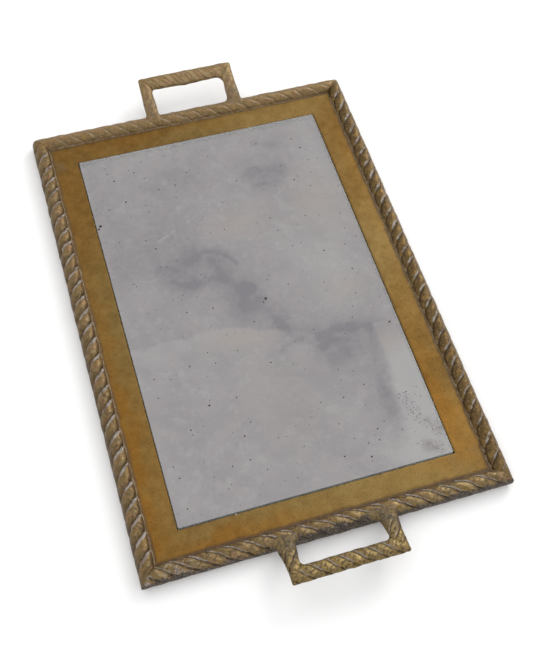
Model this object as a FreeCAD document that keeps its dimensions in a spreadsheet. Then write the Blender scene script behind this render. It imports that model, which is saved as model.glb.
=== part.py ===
import FreeCAD, Part
import math
import os
import Sketcher

# A vanity tray: a mirror let into a brass plate, a mitred rim of twisted brass rope round it and a
# rope handle brazed to each short side.
# Frame: +Z up, the tray stands on z = 0, the origin is under its middle, +Y is its long side and
# -Y is its front. Lengths are in millimetres, angles in degrees.

DIMENSIONS = [
    # Rim of rope
    ("rim_width", 305.0, "across the rope, outside"),
    ("rim_length", 439.0, "along the rope, outside"),
    ("rope_radius", 8.1, "to the crest of a strand"),
    ("rope_height", 6.5, "centre of the rope above the resting face"),
    ("rope_lead", 58.0, "length of one whole turn of a strand"),
    ("rebate_depth", 3.2, "how far the plates sit inside the rope"),
    # Section of every rope
    ("strand_shift", 0.358, "strand's centre from the rope's, over the rope's radius"),
    ("end_margin", 2.0, "spare rope past each mitre before it is trimmed"),
    ("guide_radius", 20.0, "radius of the helix that turns the section"),
    # Flat plates, from the bottom up
    ("felt_base", 1.8, "underside of the felt"),
    ("felt_thick", 1.0, "felt"),
    ("felt_inset", 3.5, "felt's edge inside the plate's edge"),
    ("plate_thick", 1.5, "base plate"),
    ("surround_thick", 4.0, "brass surround of the mirror"),
    ("mirror_width", 228.0, "glass, short way"),
    ("mirror_length", 364.0, "glass, long way"),
    ("mirror_gap", 0.6, "clearance between the glass and the surround"),
    ("mirror_corner", 1.5, "rounding of the glass's corners"),
    ("glass_thick", 4.0, "glass"),
    ("glass_arris", 0.4, "ground edge of the glass"),
    ("silver_thick", 0.2, "silver and its backing paint"),
    ("mastic_thick", 0.6, "dabs of mastic under the mirror"),
    ("mastic_radius", 14.0, "one dab"),
    # Solder at the inner foot of the rope
    ("solder_foot", 135.0, "inner edge of the bead across the tray"),
    ("solder_height", 1.5, "bead above the surround"),
    ("solder_slope", 1.2, "how far the bead leans in as it rises"),
    ("solder_back", 4.2, "bead's width before the rope is cut out of it"),
    # Screws through the base plate
    ("screw_radius", 1.5, "shank"),
    ("screw_head", 2.8, "head, radius"),
    ("screw_cone", 1.3, "height of the countersunk head"),
    ("screw_long", 5.0, "whole screw"),
    ("screw_side", 124.5, "screws of the long sides, from the middle"),
    ("screw_end", 191.5, "screws of the short sides, from the middle"),
    ("fit_gap", 0.05, "clearance in a drilled hole"),
    # Handles
    ("handle_reach", 246.1, "centre of the bar from the tray's middle"),
    ("handle_height", 23.7, "centre of the bar above the resting face"),
    ("handle_tilt", 18.5, "rise of the handle away from the tray"),
    ("front_width", 94.5, "front handle, outside"),
    ("back_width", 92.3, "back handle, outside"),
    ("front_shift", 1.5, "front handle's centre, towards +X"),
    ("back_shift", 4.9, "back handle's centre, towards +X"),
    ("bar_radius", 6.8, "bar, in the plane of the handle"),
    ("bar_lead", 46.0, "bar, one whole turn of a strand"),
    ("post_radius", 6.0, "post, in the plane of the handle"),
    ("post_lead", 44.0, "post, one whole turn of a strand"),
    ("handle_thick", 9.4, "bar and posts, square to the plane of the handle"),
    ("post_reach", 35.5, "post's root from the bar's centre line"),
    ("dowel_radius", 1.25, "pin that locates a post on the rim"),
    ("dowel_start", 22.0, "pin's upper end from the bar's centre line"),
    ("dowel_long", 16.0, "pin"),
    ("dowel_drop", 1.2, "pin below the middle of the post"),
]

STRANDS = 4
STRAND_STEP = 2 * math.pi / STRANDS     # radians round the rope from one strand to the next
MASTIC_ROWS = 4
MASTIC_COLUMNS = 3
MASTIC_PITCH = (75.0, 95.0)             # mm between dabs, across and along the tray
SIDE_SCREWS = (-135.0, 0.0, 135.0)      # mm along each long side, from its middle
END_SCREWS = (-60.0, 60.0)              # mm along each short side, from its middle
ENVELOPE_HEIGHT = 20.0                  # mm, taller than any rope
SAME_HEIGHT = 1e-6                      # mm, two points this close in height are level
QUARTER_TURN = 90                       # degrees
Z_AXIS = FreeCAD.Vector(0, 0, 1)
X_AXIS = FreeCAD.Vector(1, 0, 0)

# Heights of the stack as sheet expressions
PLATE_BASE = "(dims.felt_base + dims.felt_thick)"
SURROUND_BASE = f"({PLATE_BASE} + dims.plate_thick)"
SURROUND_TOP = f"({SURROUND_BASE} + dims.surround_thick)"
SILVER_BASE = f"({SURROUND_BASE} + dims.mastic_thick)"
GLASS_BASE = f"({SILVER_BASE} + dims.silver_thick)"
BAR_ROPE_LENGTH = "(dims.front_width + 2 * dims.end_margin)"
POST_ROPE_LENGTH = "(dims.post_reach + dims.bar_radius + 2 * dims.end_margin)"
PLATE_HALF_WIDTH = "(dims.rim_width / 2 - 2 * dims.rope_radius + dims.rebate_depth)"
PLATE_HALF_LENGTH = "(dims.rim_length / 2 - 2 * dims.rope_radius + dims.rebate_depth)"


def add_dimensions(doc):
    """Put every driving dimension in the sheet, as a plain number with an alias."""
    sheet = doc.addObject("Spreadsheet::Sheet", "dims")
    for row, (alias, value, note) in enumerate(DIMENSIONS, start=1):
        sheet.set(f"A{row}", alias)
        sheet.set(f"B{row}", str(value))
        sheet.setAlias(f"B{row}", alias)
        sheet.set(f"C{row}", note)
    doc.recompute()
    return sheet


def bind(feature, **expressions):
    """Bind properties of a feature, in millimetres, to expressions of the sheet."""
    for name, expression in expressions.items():
        feature.setExpression(name, f"({expression}) * 1mm")


def raise_to(feature, expression):
    """Set the height of a feature's base, in millimetres, by an expression of the sheet."""
    feature.setExpression(".Placement.Base.z", f"({expression}) * 1mm")


def new_sketch(body, name, role):
    """An empty sketch flat on one of the body's own origin planes."""
    plane = next(item for item in body.Origin.OriginFeatures if item.Role == role)
    sketch = body.newObject("Sketcher::SketchObject", name)
    sketch.AttachmentSupport = [(plane, "")]
    sketch.MapMode = "FlatFace"
    return sketch


def fix_point(sketch, geometry, vertex, expressions):
    """Hold a sketch point at two signed distances from the origin."""
    for kind, expression in zip(("DistanceX", "DistanceY"), expressions):
        start = sketch.evalExpression(expression)
        index = sketch.addConstraint(Sketcher.Constraint(kind, -1, 1, geometry, vertex, start))
        sketch.setExpression(f"Constraints[{index}]", f"({expression}) * 1mm")


def outline_sketch(body, name, role, corners):
    """A closed polygon whose corners are pairs of sheet expressions."""
    sketch = new_sketch(body, name, role)
    points = [
        FreeCAD.Vector(sketch.evalExpression(x), sketch.evalExpression(y), 0) for x, y in corners
    ]
    for index, point in enumerate(points):
        following = points[(index + 1) % len(points)]
        sketch.addGeometry(Part.LineSegment(point, following), False)
    for index in range(len(points)):
        following = (index + 1) % len(points)
        sketch.addConstraint(Sketcher.Constraint("Coincident", index, 2, following, 1))
    for index, corner in enumerate(corners):
        fix_point(sketch, index, 1, corner)
    return sketch


def rectangle(half_x, half_y):
    """Corners of a rectangle about the origin, from two half sizes."""
    return [
        (f"-{half_x}", f"-{half_y}"),
        (half_x, f"-{half_y}"),
        (half_x, half_y),
        (f"-{half_x}", half_y),
    ]


def pad_outline(doc, name, corners, thickness, window=None):
    """A flat plate with an outline, and a window right through it if one is given."""
    body = doc.addObject("PartDesign::Body", name)
    plate = body.newObject("PartDesign::Pad", f"{name}_pad")
    plate.Profile = outline_sketch(body, f"{name}_outline", "XY_Plane", corners)
    bind(plate, Length=thickness)
    if window:
        opening = body.newObject("PartDesign::Pocket", f"{name}_window")
        opening.Profile = outline_sketch(body, f"{name}_window_outline", "XY_Plane", window)
        opening.Type = "ThroughAll"
        opening.Reversed = True
    return body


def rope_section(body, name, radius):
    """Four round strands in one closed section, with a sharp groove between each pair."""
    sketch = new_sketch(body, name, "XZ_Plane")
    centre_expression = f"{radius} * dims.strand_shift"
    strand_expression = f"{radius} * (1 - dims.strand_shift)"
    shift = sketch.evalExpression(centre_expression)
    strand = sketch.evalExpression(strand_expression)
    half_step = STRAND_STEP / 2
    groove = shift * math.cos(half_step) + math.sqrt(strand**2 - (shift * math.sin(half_step)) ** 2)
    reach = math.atan2(
        groove * math.sin(half_step), groove * math.cos(half_step) - shift
    )
    for index in range(STRANDS):
        turn = index * STRAND_STEP
        centre = FreeCAD.Vector(shift * math.cos(turn), shift * math.sin(turn), 0)
        circle = Part.Circle(centre, Z_AXIS, strand)
        sketch.addGeometry(Part.ArcOfCircle(circle, turn - reach, turn + reach), False)
    for index in range(STRANDS):
        following = (index + 1) % STRANDS
        sketch.addConstraint(Sketcher.Constraint("Coincident", index, 2, following, 1))
        across = index % 2
        sign = 1 if index < 2 else -1
        kind = ("DistanceX", "DistanceY")[across]
        axis = (-1, -2)[across]
        sketch.addConstraint(Sketcher.Constraint("PointOnObject", index, 3, axis))
        held = sketch.addConstraint(Sketcher.Constraint(kind, -1, 1, index, 3, sign * shift))
        sketch.setExpression(f"Constraints[{held}]", f"{sign} * {centre_expression} * 1mm")
        sized = sketch.addConstraint(Sketcher.Constraint("Radius", index, strand))
        sketch.setExpression(f"Constraints[{sized}]", f"{strand_expression} * 1mm")
    return sketch


def twisted_rope(doc, name, radius, lead, length):
    """Straight rope along +Y from the origin, its section turned steadily by a helix."""
    guide = doc.addObject("Part::Helix", f"{name}_guide")
    bind(guide, Pitch=lead, Height=length, Radius="dims.guide_radius")
    guide.Placement = FreeCAD.Placement(FreeCAD.Vector(), FreeCAD.Rotation(X_AXIS, -QUARTER_TURN))
    body = doc.addObject("PartDesign::Body", name)
    section = rope_section(body, f"{name}_section", radius)
    spine = new_sketch(body, f"{name}_line", "XY_Plane")
    run = spine.evalExpression(length)
    spine.addGeometry(Part.LineSegment(FreeCAD.Vector(), FreeCAD.Vector(0, run, 0)), False)
    spine.addConstraint(Sketcher.Constraint("Coincident", 0, 1, -1, 1))
    spine.addConstraint(Sketcher.Constraint("Vertical", 0))
    held = spine.addConstraint(Sketcher.Constraint("DistanceY", 0, 1, 0, 2, run))
    spine.setExpression(f"Constraints[{held}]", f"({length}) * 1mm")
    doc.recompute()
    rope = body.newObject("PartDesign::AdditivePipe", f"{name}_twist")
    rope.Profile = section
    rope.Spine = (spine, ["Edge1"])
    rope.Mode = "Auxiliary"
    rope.AuxiliarySpine = (guide, ["Edge1"])
    rope.AuxiliaryCurvilinear = True
    return body


def boolean(doc, kind, name, base, tool):
    """Part::Cut or Part::Common of two objects."""
    result = doc.addObject(f"Part::{kind}", name)
    result.Base = base
    result.Tool = tool
    return result


def group(doc, name, pieces):
    """Separate solids of one kind that share a node."""
    result = doc.addObject("Part::Compound", name)
    result.Links = pieces
    return result


def edges_where(feature, wanted):
    """Names of the feature's edges whose two ends pass a test."""
    names = []
    for index, edge in enumerate(feature.Shape.Edges, start=1):
        first, last = edge.Vertexes[0].Point, edge.Vertexes[-1].Point
        if wanted(first, last):
            names.append(f"Edge{index}")
    return names


def both_at_height(height):
    """A test for edges that lie at one height."""
    return lambda first, last: max(abs(first.z - height), abs(last.z - height)) < SAME_HEIGHT


def ends_apart_in_height(first, last):
    """A test for edges that rise."""
    return abs(first.z - last.z) > SAME_HEIGHT


def dress_edges(body, kind, name, wanted, **sizes):
    """Fillet or chamfer the edges of the body's last feature that pass a test."""
    body.Document.recompute()
    base = body.Tip
    names = edges_where(base, wanted)
    feature = body.newObject(f"PartDesign::{kind}", name)
    feature.Base = (base, names)
    bind(feature, **sizes)
    body.Document.recompute()


def make_rail_envelope(doc, name, length):
    """Space of one rail: mitred ends in plan, flat underside, rebate for the plates at +X."""
    outside = f"({length} / 2)"
    inside = f"({length} / 2 - 2 * dims.rope_radius)"
    plan = [
        ("-dims.rope_radius", f"-{outside}"),
        ("dims.rope_radius", f"-{inside}"),
        ("dims.rope_radius", inside),
        ("-dims.rope_radius", outside),
    ]
    body = pad_outline(doc, name, plan, str(ENVELOPE_HEIGHT))
    rebate_wall = "dims.rope_radius - dims.rebate_depth"
    profile = [
        (rebate_wall, PLATE_BASE),
        ("dims.rope_radius * 2", PLATE_BASE),
        ("dims.rope_radius * 2", SURROUND_TOP),
        (rebate_wall, SURROUND_TOP),
    ]
    rebate = body.newObject("PartDesign::Pocket", f"{name}_rebate")
    rebate.Profile = outline_sketch(body, f"{name}_rebate_outline", "XZ_Plane", profile)
    rebate.Type = "ThroughAll"
    rebate.SideType = "Symmetric"
    return body


def make_rails(doc):
    """Four mitred rails, each trimmed from a straight rope and turned to its own side."""
    long_way = "dims.rim_length"
    short_way = "dims.rim_width"
    across = "(dims.rim_width / 2 - dims.rope_radius)"
    along = "(dims.rim_length / 2 - dims.rope_radius)"
    sides = [
        ("left", long_way, 0, f"-{across}", None),
        ("right", long_way, 180, across, None),
        ("front", short_way, 90, None, f"-{along}"),
        ("back", short_way, -90, None, along),
    ]
    rails = {}
    for side, length, turn, x, y in sides:
        name = f"rope_rail_{side}"
        rope = twisted_rope(
            doc,
            f"{name}_rope",
            "dims.rope_radius",
            "dims.rope_lead",
            f"({length} + 2 * dims.end_margin)",
        )
        rope.setExpression(".Placement.Base.y", f"-({length} / 2 + dims.end_margin) * 1mm")
        raise_to(rope, "dims.rope_height")
        envelope = make_rail_envelope(doc, f"{name}_envelope", length)
        drilled_later = side in ("front", "back")
        rail = boolean(doc, "Common", f"{name}_mitred" if drilled_later else name, rope, envelope)
        rail.Placement = FreeCAD.Placement(FreeCAD.Vector(), FreeCAD.Rotation(Z_AXIS, turn))
        if x:
            rail.setExpression(".Placement.Base.x", f"{x} * 1mm")
        if y:
            rail.setExpression(".Placement.Base.y", f"{y} * 1mm")
        rails[side] = rail
    return rails


def make_screws(doc, name, clearance):
    """Countersunk screws upwards through the base plate, or the holes that they need."""
    side_places = [(sign, y) for sign in (-1, 1) for y in SIDE_SCREWS]
    end_places = [(sign, x) for sign in (-1, 1) for x in END_SCREWS]
    places = [(f"{sign} * dims.screw_side", str(y)) for sign, y in side_places]
    places += [(str(x), f"{sign} * dims.screw_end") for sign, x in end_places]
    pieces = []
    for index, (x, y) in enumerate(places, start=1):
        head = doc.addObject("Part::Cone", f"{name}_head_{index}")
        bind(
            head,
            Radius1=f"dims.screw_head + {clearance}",
            Radius2=f"dims.screw_radius + {clearance}",
            Height="dims.screw_cone",
        )
        shank = doc.addObject("Part::Cylinder", f"{name}_shank_{index}")
        bind(shank, Radius=f"dims.screw_radius + {clearance}", Height=f"dims.screw_long + {clearance}")
        screw = doc.addObject("Part::Fuse", f"{name}_{index}")
        screw.Base = head
        screw.Tool = shank
        screw.setExpression(".Placement.Base.x", f"({x}) * 1mm")
        screw.setExpression(".Placement.Base.y", f"({y}) * 1mm")
        raise_to(screw, PLATE_BASE)
        pieces.append(screw)
    return group(doc, name, pieces)


def make_plates(doc):
    """Felt, base plate and the surround that frames the mirror, with the screws between them."""
    felt = pad_outline(
        doc,
        "base_felt",
        rectangle(f"({PLATE_HALF_WIDTH} - dims.felt_inset)", f"({PLATE_HALF_LENGTH} - dims.felt_inset)"),
        "dims.felt_thick",
    )
    raise_to(felt, "dims.felt_base")
    plate = pad_outline(
        doc, "base_plate_blank", rectangle(PLATE_HALF_WIDTH, PLATE_HALF_LENGTH), "dims.plate_thick"
    )
    raise_to(plate, PLATE_BASE)
    window = rectangle(
        "(dims.mirror_width / 2 + dims.mirror_gap)", "(dims.mirror_length / 2 + dims.mirror_gap)"
    )
    surround = pad_outline(
        doc,
        "mirror_surround_blank",
        rectangle(PLATE_HALF_WIDTH, PLATE_HALF_LENGTH),
        "dims.surround_thick",
        window,
    )
    raise_to(surround, SURROUND_BASE)
    screws = make_screws(doc, "base_screws", "0")
    holes = make_screws(doc, "screw_holes", "dims.fit_gap")
    return [
        felt,
        boolean(doc, "Cut", "base_plate", plate, holes),
        boolean(doc, "Cut", "mirror_surround", surround, holes),
        screws,
    ]


def make_mirror(doc):
    """Glass with ground edges, its silver and paint, and the mastic that beds it."""
    half_width = "(dims.mirror_width / 2)"
    half_length = "(dims.mirror_length / 2)"
    glass = pad_outline(doc, "mirror_glass", rectangle(half_width, half_length), "dims.glass_thick")
    raise_to(glass, GLASS_BASE)
    dress_edges(glass, "Fillet", "glass_corners", ends_apart_in_height, Radius="dims.mirror_corner")
    top = glass.evalExpression("dims.glass_thick")
    dress_edges(glass, "Chamfer", "glass_edge", both_at_height(top), Size="dims.glass_arris")

    silver = pad_outline(
        doc,
        "mirror_silvering",
        rectangle(f"({half_width} - dims.glass_arris)", f"({half_length} - dims.glass_arris)"),
        "dims.silver_thick",
    )
    raise_to(silver, SILVER_BASE)
    dabs = []
    for row in range(MASTIC_ROWS):
        for column in range(MASTIC_COLUMNS):
            dab = doc.addObject("Part::Cylinder", f"mastic_dab_{row}_{column}")
            bind(dab, Radius="dims.mastic_radius", Height="dims.mastic_thick")
            dab.Placement.Base = FreeCAD.Vector(
                (column - (MASTIC_COLUMNS - 1) / 2) * MASTIC_PITCH[0],
                (row - (MASTIC_ROWS - 1) / 2) * MASTIC_PITCH[1],
                0,
            )
            raise_to(dab, SURROUND_BASE)
            dabs.append(dab)
    return [glass, silver, group(doc, "mirror_mastic", dabs)]


def make_solder_bead(doc, rails):
    """Bead of solder all round the inner foot of the rope, following its strands."""
    length_foot = "(dims.solder_foot + (dims.rim_length - dims.rim_width) / 2)"
    ring = pad_outline(
        doc,
        "solder_ring",
        rectangle("(dims.solder_foot + dims.solder_back)", f"({length_foot} + dims.solder_back)"),
        "dims.solder_height",
        rectangle("dims.solder_foot", length_foot),
    )
    top = ring.evalExpression("dims.solder_height")
    side_limit = ring.evalExpression("dims.solder_foot + dims.solder_back / 2")
    end_limit = ring.evalExpression(f"{length_foot} + dims.solder_back / 2")

    def upper_inner(first, last):
        inside = abs(first.x) < side_limit and abs(first.y) < end_limit
        return inside and both_at_height(top)(first, last)

    dress_edges(ring, "Chamfer", "solder_lean", upper_inner, Size="dims.solder_slope")
    raise_to(ring, SURROUND_TOP)
    bead = ring
    for index, rail in enumerate(rails, start=1):
        last = index == len(rails)
        bead = boolean(doc, "Cut", "rim_solder_bead" if last else f"solder_cut_{index}", bead, rail)
    return bead


def flattened_rope(doc, name, rope, radius, placement):
    """The rope pressed from a round section to the handle's thickness, then laid in place."""
    flatness = rope.evalExpression(f"dims.handle_thick / 2 / {radius}")
    matrix = FreeCAD.Matrix()
    matrix.scale(1, 1, flatness)
    flat = doc.addObject("Part::Feature", name)
    flat.Shape = rope.Shape.transformGeometry(matrix)
    flat.Placement = placement
    return flat


def trim_in_handle(doc, name, flat, corners):
    """Keep the part of a flattened rope inside an outline drawn in the plane of the handle."""
    envelope = pad_outline(doc, f"{name}_envelope", corners, str(ENVELOPE_HEIGHT))
    raise_to(envelope, f"-{ENVELOPE_HEIGHT / 2}")
    return boolean(doc, "Common", name, flat, envelope)


def handle_placement(sheet, end, outward):
    """The handle's own frame: X along the bar, Y in the plane of the handle."""
    base = FreeCAD.Vector(
        float(sheet.get(f"{end}_shift")),
        outward * float(sheet.get("handle_reach")),
        float(sheet.get("handle_height")),
    )
    tilt = FreeCAD.Rotation(X_AXIS, outward * float(sheet.get("handle_tilt")))
    return FreeCAD.Placement(base, tilt)


def make_dowel(doc, sheet, name, end, outward, side, clearance):
    """Pin along a post into the rim, or the blind hole that it needs."""
    dowel = doc.addObject("Part::Cylinder", name)
    bind(
        dowel,
        Radius=f"dims.dowel_radius + {clearance}",
        Height=f"dims.dowel_long + 2 * {clearance}",
    )
    start = FreeCAD.Vector(
        side * dowel.evalExpression(f"dims.{end}_width / 2 - dims.post_radius"),
        -outward * dowel.evalExpression(f"dims.dowel_start - {clearance}"),
        -float(sheet.get("dowel_drop")),
    )
    along_post = FreeCAD.Placement(start, FreeCAD.Rotation(X_AXIS, outward * QUARTER_TURN))
    dowel.Placement = handle_placement(sheet, end, outward).multiply(along_post)
    return dowel


def make_post(doc, sheet, end, outward, side, rope, rail, hole):
    """One post: mitred to the bar, coped over the rope of the rim, drilled for its dowel."""
    word = "left" if side < 0 else "right"
    name = f"{end}_handle_{word}_post"
    half = f"(dims.{end}_width / 2)"
    inner = f"({half} - 2 * dims.post_radius)"
    corners = [
        (f"{side} * {half}", f"{outward} * dims.bar_radius"),
        (f"{side} * {half}", f"{-outward} * dims.post_reach"),
        (f"{side} * {inner}", f"{-outward} * dims.post_reach"),
        (f"{side} * {inner}", f"{-outward} * dims.bar_radius"),
    ]
    middle = side * rope.evalExpression(f"{half} - dims.post_radius")
    beyond = rope.evalExpression("dims.bar_radius + dims.end_margin")
    whole = rope.evalExpression(POST_ROPE_LENGTH)
    start = beyond - whole if outward > 0 else -beyond
    laid = FreeCAD.Placement(FreeCAD.Vector(middle, start, 0), FreeCAD.Rotation())
    flat = flattened_rope(doc, f"{name}_rope", rope, "dims.post_radius", laid)
    mitred = trim_in_handle(doc, f"{name}_mitred", flat, corners)
    mitred.Placement = handle_placement(sheet, end, outward)
    coped = boolean(doc, "Cut", f"{name}_coped", mitred, rail)
    return boolean(doc, "Cut", name, coped, hole)


def make_bar(doc, sheet, end, outward, rope):
    """The bar across the posts, mitred at both ends."""
    name = f"{end}_handle_bar"
    half = f"(dims.{end}_width / 2)"
    inner = f"({half} - 2 * dims.post_radius)"
    corners = [
        (f"-{half}", f"{outward} * dims.bar_radius"),
        (half, f"{outward} * dims.bar_radius"),
        (inner, f"{-outward} * dims.bar_radius"),
        (f"-{inner}", f"{-outward} * dims.bar_radius"),
    ]
    start = -rope.evalExpression(f"{BAR_ROPE_LENGTH} / 2")
    laid = FreeCAD.Placement(FreeCAD.Vector(start, 0, 0), FreeCAD.Rotation(Z_AXIS, -QUARTER_TURN))
    flat = flattened_rope(doc, f"{name}_rope", rope, "dims.bar_radius", laid)
    bar = trim_in_handle(doc, name, flat, corners)
    bar.Placement = handle_placement(sheet, end, outward)
    return bar


def make_handles(doc, sheet, rails):
    """Both handles, the dowels under their posts and the short rails drilled for them."""
    bar_rope = twisted_rope(doc, "bar_rope", "dims.bar_radius", "dims.bar_lead", BAR_ROPE_LENGTH)
    post_rope = twisted_rope(doc, "post_rope", "dims.post_radius", "dims.post_lead", POST_ROPE_LENGTH)
    doc.recompute()
    pieces = []
    dowels = []
    drilled = []
    for end, outward in (("front", -1), ("back", 1)):
        pieces.append(make_bar(doc, sheet, end, outward, bar_rope))
        holes = []
        for side in (-1, 1):
            tag = f"{end}_{'left' if side < 0 else 'right'}"
            dowels.append(make_dowel(doc, sheet, f"dowel_{tag}", end, outward, side, "0"))
            hole = make_dowel(doc, sheet, f"dowel_hole_{tag}", end, outward, side, "dims.fit_gap")
            holes.append(hole)
            post = make_post(doc, sheet, end, outward, side, post_rope, rails[end], hole)
            pieces.append(post)
        both = group(doc, f"{end}_dowel_holes", holes)
        drilled.append(boolean(doc, "Cut", f"rope_rail_{end}", rails[end], both))
    return pieces + [group(doc, "handle_dowels", dowels)] + drilled


def check_document(doc):
    """Stop if any object failed to recompute."""
    for item in doc.Objects:
        if "Invalid" in item.State or "Error" in item.State:
            raise RuntimeError(f"{item.Name} failed: {item.State}")


def write_parts(pieces):
    """Write each sub-part to parts/NODE.step, named by its label."""
    os.makedirs("parts", exist_ok=True)
    for piece in pieces:
        if piece.Shape.isNull() or not piece.Shape.isValid():
            raise RuntimeError(f"{piece.Label} has no valid shape")
        piece.Shape.exportStep(os.path.join("parts", f"{piece.Label}.step"))
        solids = piece.Shape.Solids
        print(f"{piece.Label}: {len(solids)} solid(s), {sum(s.Volume for s in solids):.0f} mm3")


def main():
    """Build the tray and write its pieces."""
    doc = FreeCAD.newDocument("vanity_tray")
    sheet = add_dimensions(doc)
    plates = make_plates(doc)
    mirror = make_mirror(doc)
    rails = make_rails(doc)
    bead = make_solder_bead(doc, list(rails.values()))
    handles = make_handles(doc, sheet, rails)
    doc.recompute()
    check_document(doc)
    write_parts(plates + mirror + [rails["left"], rails["right"], bead] + handles)


main()
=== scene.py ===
import itertools
import math

import bmesh
import bpy
import numpy as np
from mathutils import Matrix, Vector


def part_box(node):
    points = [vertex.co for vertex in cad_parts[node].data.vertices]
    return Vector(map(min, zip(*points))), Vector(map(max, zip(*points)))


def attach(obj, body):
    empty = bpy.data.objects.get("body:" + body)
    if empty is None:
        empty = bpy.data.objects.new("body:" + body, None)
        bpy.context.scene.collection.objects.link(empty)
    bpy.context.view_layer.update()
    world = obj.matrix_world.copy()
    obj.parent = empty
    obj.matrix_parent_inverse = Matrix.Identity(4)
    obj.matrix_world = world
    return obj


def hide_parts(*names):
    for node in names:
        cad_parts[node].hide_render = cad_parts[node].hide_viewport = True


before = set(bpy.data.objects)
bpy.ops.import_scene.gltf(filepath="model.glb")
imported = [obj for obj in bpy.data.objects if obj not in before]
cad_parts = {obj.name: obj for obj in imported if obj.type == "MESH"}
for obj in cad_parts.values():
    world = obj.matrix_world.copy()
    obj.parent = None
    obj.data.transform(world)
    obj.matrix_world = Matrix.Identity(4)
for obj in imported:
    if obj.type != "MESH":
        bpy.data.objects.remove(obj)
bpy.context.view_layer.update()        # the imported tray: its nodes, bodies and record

MM = 0.001
FULL_TURN = 2 * math.pi
STRANDS = 4              # of a rope with nothing else said

# Rim of rope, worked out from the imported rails
LEFT_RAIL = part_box("rope_rail_left")
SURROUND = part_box("mirror_surround")
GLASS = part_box("mirror_glass")
ROPE_RADIUS = 8.1 * MM
RIM_HALF_X = 152.5 * MM
RIM_HALF_Y = 219.5 * MM
ROPE_HEIGHT = LEFT_RAIL[1][2] - ROPE_RADIUS
PLATE_TOP = SURROUND[1][2]
PLATE_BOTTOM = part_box("base_plate")[0][2]
PLATE_HALF_X = SURROUND[1][0]
AXIS_X = RIM_HALF_X - ROPE_RADIUS
AXIS_Y = RIM_HALF_Y - ROPE_RADIUS
REBATE_WALL = AXIS_X - PLATE_HALF_X
ROPE_LEAD = 58 * MM
FOOT_ANGLE = math.asin((PLATE_TOP - ROPE_HEIGHT) / ROPE_RADIUS)

# Handles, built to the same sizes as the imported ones
HANDLE_REACH = 246.1 * MM
HANDLE_HEIGHT = 23.7 * MM
HANDLE_TILT = math.radians(18.5)
HANDLE_HALF_THICK = 4.7 * MM
BAR_RADIUS = 6.8 * MM
BAR_LEAD = 46 * MM
POST_RADIUS = 6.0 * MM
POST_LEAD = 44 * MM
# out is the way a handle points, fatter is what its bar gains towards the opening, and sag is how
# far the bar's inner side bulges in the middle. Radii are keyed by side, -1 for the left.
HANDLES = {
    "front": {
        "out": -1, "width": 94.5 * MM, "shift": 1.5 * MM, "fatter": 0.9 * MM, "sag": 0.2 * MM,
        "inner_radii": {-1: 3.0 * MM, 1: 5.0 * MM}, "outer_radii": {-1: 1.8 * MM, 1: 2.5 * MM},
    },
    "back": {
        "out": 1, "width": 92.3 * MM, "shift": 4.9 * MM, "fatter": 0.4 * MM, "sag": 1.1 * MM,
        "inner_radii": {-1: 2.5 * MM, 1: 6.0 * MM}, "outer_radii": {-1: 3.0 * MM, 1: 3.2 * MM},
    },
}


# ---- noise and small maths


PRIMES = (73856093, 19349663, 83492791)     # mix whole numbers into one key


def noise(points, size, seed):
    """Smooth noise from 0 to 1 at points (..., 3), with features about one size in mm across."""
    table = np.random.default_rng(seed).random(4096)
    cell = np.asarray(points) / (size * MM)
    base = np.floor(cell).astype(np.int64)
    part = cell - base
    fade = part * part * (3 - 2 * part)
    total = np.zeros(cell.shape[:-1])
    for corner in itertools.product((0, 1), repeat=3):
        step = np.array(corner)
        index = base + step
        key = np.bitwise_xor.reduce(index * PRIMES, axis=-1)
        weight = np.prod(np.where(step == 1, fade, 1 - fade), axis=-1)
        total += weight * table[key % 4096]
    return total


def pick(seed, *indices):
    """A repeatable random number from 0 to 1 for each set of whole-number indices."""
    key = np.full(np.broadcast(*indices).shape, seed * 7919, dtype=np.int64)
    for index, prime in zip(indices, PRIMES):
        key = key ^ (np.asarray(index, dtype=np.int64) * prime)
    table = np.random.default_rng(seed + 101).random(8192)
    return table[key % 8192]


def smoothstep(low, high, value):
    part = np.clip((value - low) / (high - low), 0, 1)
    return part * part * (3 - 2 * part)


def bell(distance, width):
    """1 at distance 0, fading over about one width."""
    return np.exp(-((distance / width) ** 2))


# ---- rope surface

# How a rope is worked, where its own look says nothing else
PLAIN_LOOK = {
    "strands": STRANDS,
    "boldness": 1.0,       # depth of the strands' relief
    "calm": 0.0,           # share of that relief missing from the rope's two sides
    "smooth": (400, 401),  # degrees round the rope, over its top, where the strands wear smooth
    "foot": 0,             # degrees from the inner side over which the strands gain depth
    "rise": 0,             # degrees from the inner side at which the residue starts
    "cuts": 0.0,           # share of the chased lines that show
    "pits": 0,             # number of casting holes
    "pale": 1.0,           # strength of the residue in the grooves
    "spread": 1.0,         # width of that residue
    "lip": 1.0,            # strength of the painted shadow line beside each groove
    "shade": 0.0,          # strength of the broad painted shade beyond that line
    "crest": 1.0,          # strength of the painted highlight along each strand
}
USUAL_PITCH = 14.5 * MM    # from strand to strand along the rim
STRAND_RISE = 1.05 * MM    # from a strand's shoulder to its top, at that pitch
GROOVE_DEPTH = 0.40 * MM
GROOVE_WIDTH = 0.6 * MM
STRAND_STEP = 0.25 * MM    # how unevenly high the strands are
WORN_DEPTH = 0.45 * MM     # of a place where the strands don't show
HAMMER_DEPTH = 0.18 * MM
CUT_SPACING = 2.9 * MM
CUT_WIDTH = 0.45 * MM
CUT_DEPTH = 0.22 * MM
PIT_DEPTH = 0.42 * MM


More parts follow.
